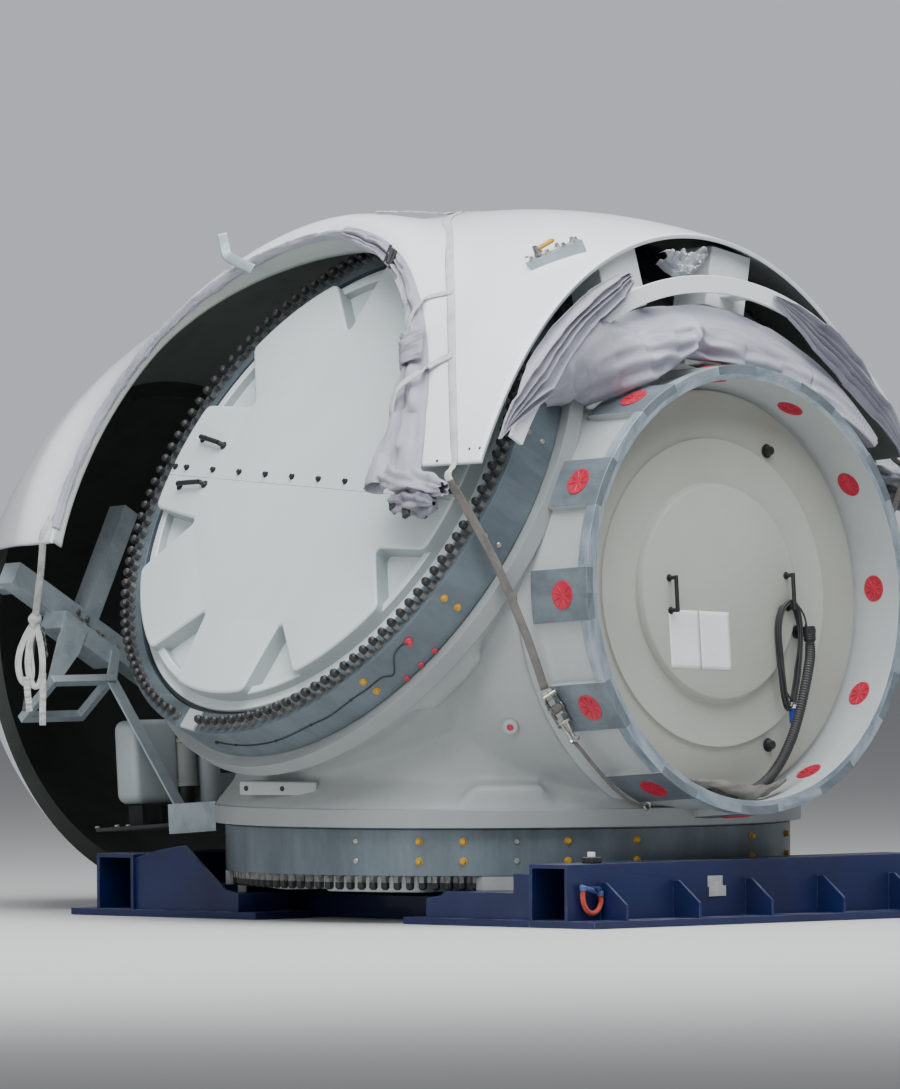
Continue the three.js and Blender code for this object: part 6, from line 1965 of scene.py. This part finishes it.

# %% [markdown]
# ## Last small parts
# A bent bar stands on the rim of the left opening, a short ledge with two threaded holes is cast on the
# body, three small holes are drilled at the shell's rear edge on each side, and a piece of chain hangs
# behind the knot. Each hole is drawn as a dark disc, which is painted shade.

# %% Bent bar and ledge
bar_points = [by_bearing("left", x, forward, out) for x, forward, out in (
    (1.160, 0.437, 1.690), (1.200, 0.550, 1.722), (1.243, 0.640, 1.732), (1.290, 0.662, 1.752),
    (1.345, 0.672, 1.790))]
strap("rim_bar", bar_points, towards(-0.69, -0.72, 0.1), 0.055, [zinc], 0.006,
      count=40, ripple=0.0)
ledge_at = Vector((-1.420, 0.165, 0.684))
ledge_place = Matrix.Translation(ledge_at) @ turned(-168.2, "Z")
bm = bmesh.new()
add_box(bm, (-0.080, -0.240, -0.036), (0.066, 0.240, 0.036))
soften(piece("cast_ledge", bm, machined_paint, ledge_place), 0.010, 3)
# The two threaded holes are dark discs: painted shade in the holes.
bm = bmesh.new()
for y in (-0.195, 0.030):
    add_rod(bm, (0.0645, y, -0.002), (0.0668, y, -0.002), 0.014, 20)
piece("ledge_hole_shade", bm, rubber, ledge_place)
print("ledge at", short(ledge_at))

# %% Holes in the shell, and the chain
# The shell's holes are dark discs: painted shade in the holes.
bm = bmesh.new()
for y, degrees in ((-1.197, 155.9), (-1.359, 153.3), (-1.415, 153.0)):
    for angle in (degrees, 180 - degrees):
        spot = shell_point(y, angle)
        out = outwards(spot)
        add_rod(bm, spot - out * 0.004, spot + out * 0.0012, 0.008, 16)
piece("shell_hole_shade", bm, rubber, ROTOR)
LINKS = 6
bm = bmesh.new()
for index in range(LINKS):
    turn = turned(90 * (index % 2), "Z") @ turned(90, "X")
    spot = knot_at + Vector((0.030 + 0.003 * index, -0.020, -0.045 - 0.026 * index))
    add_shape(bm, torus(0.013, 0.0052, 6, 16), Matrix.Translation(spot) @ turn)
piece("chain", bm, stud_steel, ROTOR, crease=60)
print("six holes, and a chain of", LINKS, "links")

# %% [markdown]
# ## Floor and light
# The floor is plain and pale and runs far out, so that it meets the backdrop softly. The day was
# overcast: one very large soft light from above does most of the work, with a weak one from the left.
# The camera sees a brighter backdrop than the one that lights the hub.

# %% Floor
floor_finish = bpy.data.materials.new("studio_floor")
floor_finish.use_nodes = True
floor_finish.node_tree.nodes["Principled BSDF"].inputs["Base Color"].default_value = screen(202, 202, 200)
floor_finish.node_tree.nodes["Principled BSDF"].inputs["Roughness"].default_value = 0.9
bm = bmesh.new()
bmesh.ops.create_grid(bm, x_segments=1, y_segments=1, size=60, matrix=Matrix.Translation((0, 0, -0.002)))
floor = new_object("floor", mesh_of("floor", bm))
floor.data.materials.append(floor_finish)
print("floor laid")

# %% Lights


def soft_light(name, spot, size, power, colour=(1, 1, 1)):
    """A large square light that looks at the hub."""
    lamp = bpy.data.lights.new(name, "AREA")
    lamp.shape, lamp.size, lamp.energy, lamp.color = "SQUARE", size, power, colour
    made = new_object(name, lamp)
    made.location = spot
    made.rotation_euler = (Vector((0, 0, 1.6)) - Vector(spot)).to_track_quat("-Z", "Y").to_euler()
    return made


soft_light("sky_panel", (-3, -4, 12), 13, 3400, (0.96, 0.98, 1.0))
soft_light("left_panel", (-14, -2, 5), 8, 450, (1.0, 0.99, 0.97))
world = bpy.data.worlds.new("studio")
bpy.context.scene.world = world
world.use_nodes = True
sky = world.node_tree.nodes["Background"]
sky.inputs["Color"].default_value = (0.82, 0.86, 0.92, 1)
seen = world.node_tree.nodes.new("ShaderNodeLightPath")
level = world.node_tree.nodes.new("ShaderNodeMapRange")
level.inputs["To Min"].default_value, level.inputs["To Max"].default_value = 0.27, 0.62
world.node_tree.links.new(seen.outputs["Is Camera Ray"], level.inputs["Value"])
world.node_tree.links.new(level.outputs["Result"], sky.inputs["Strength"])
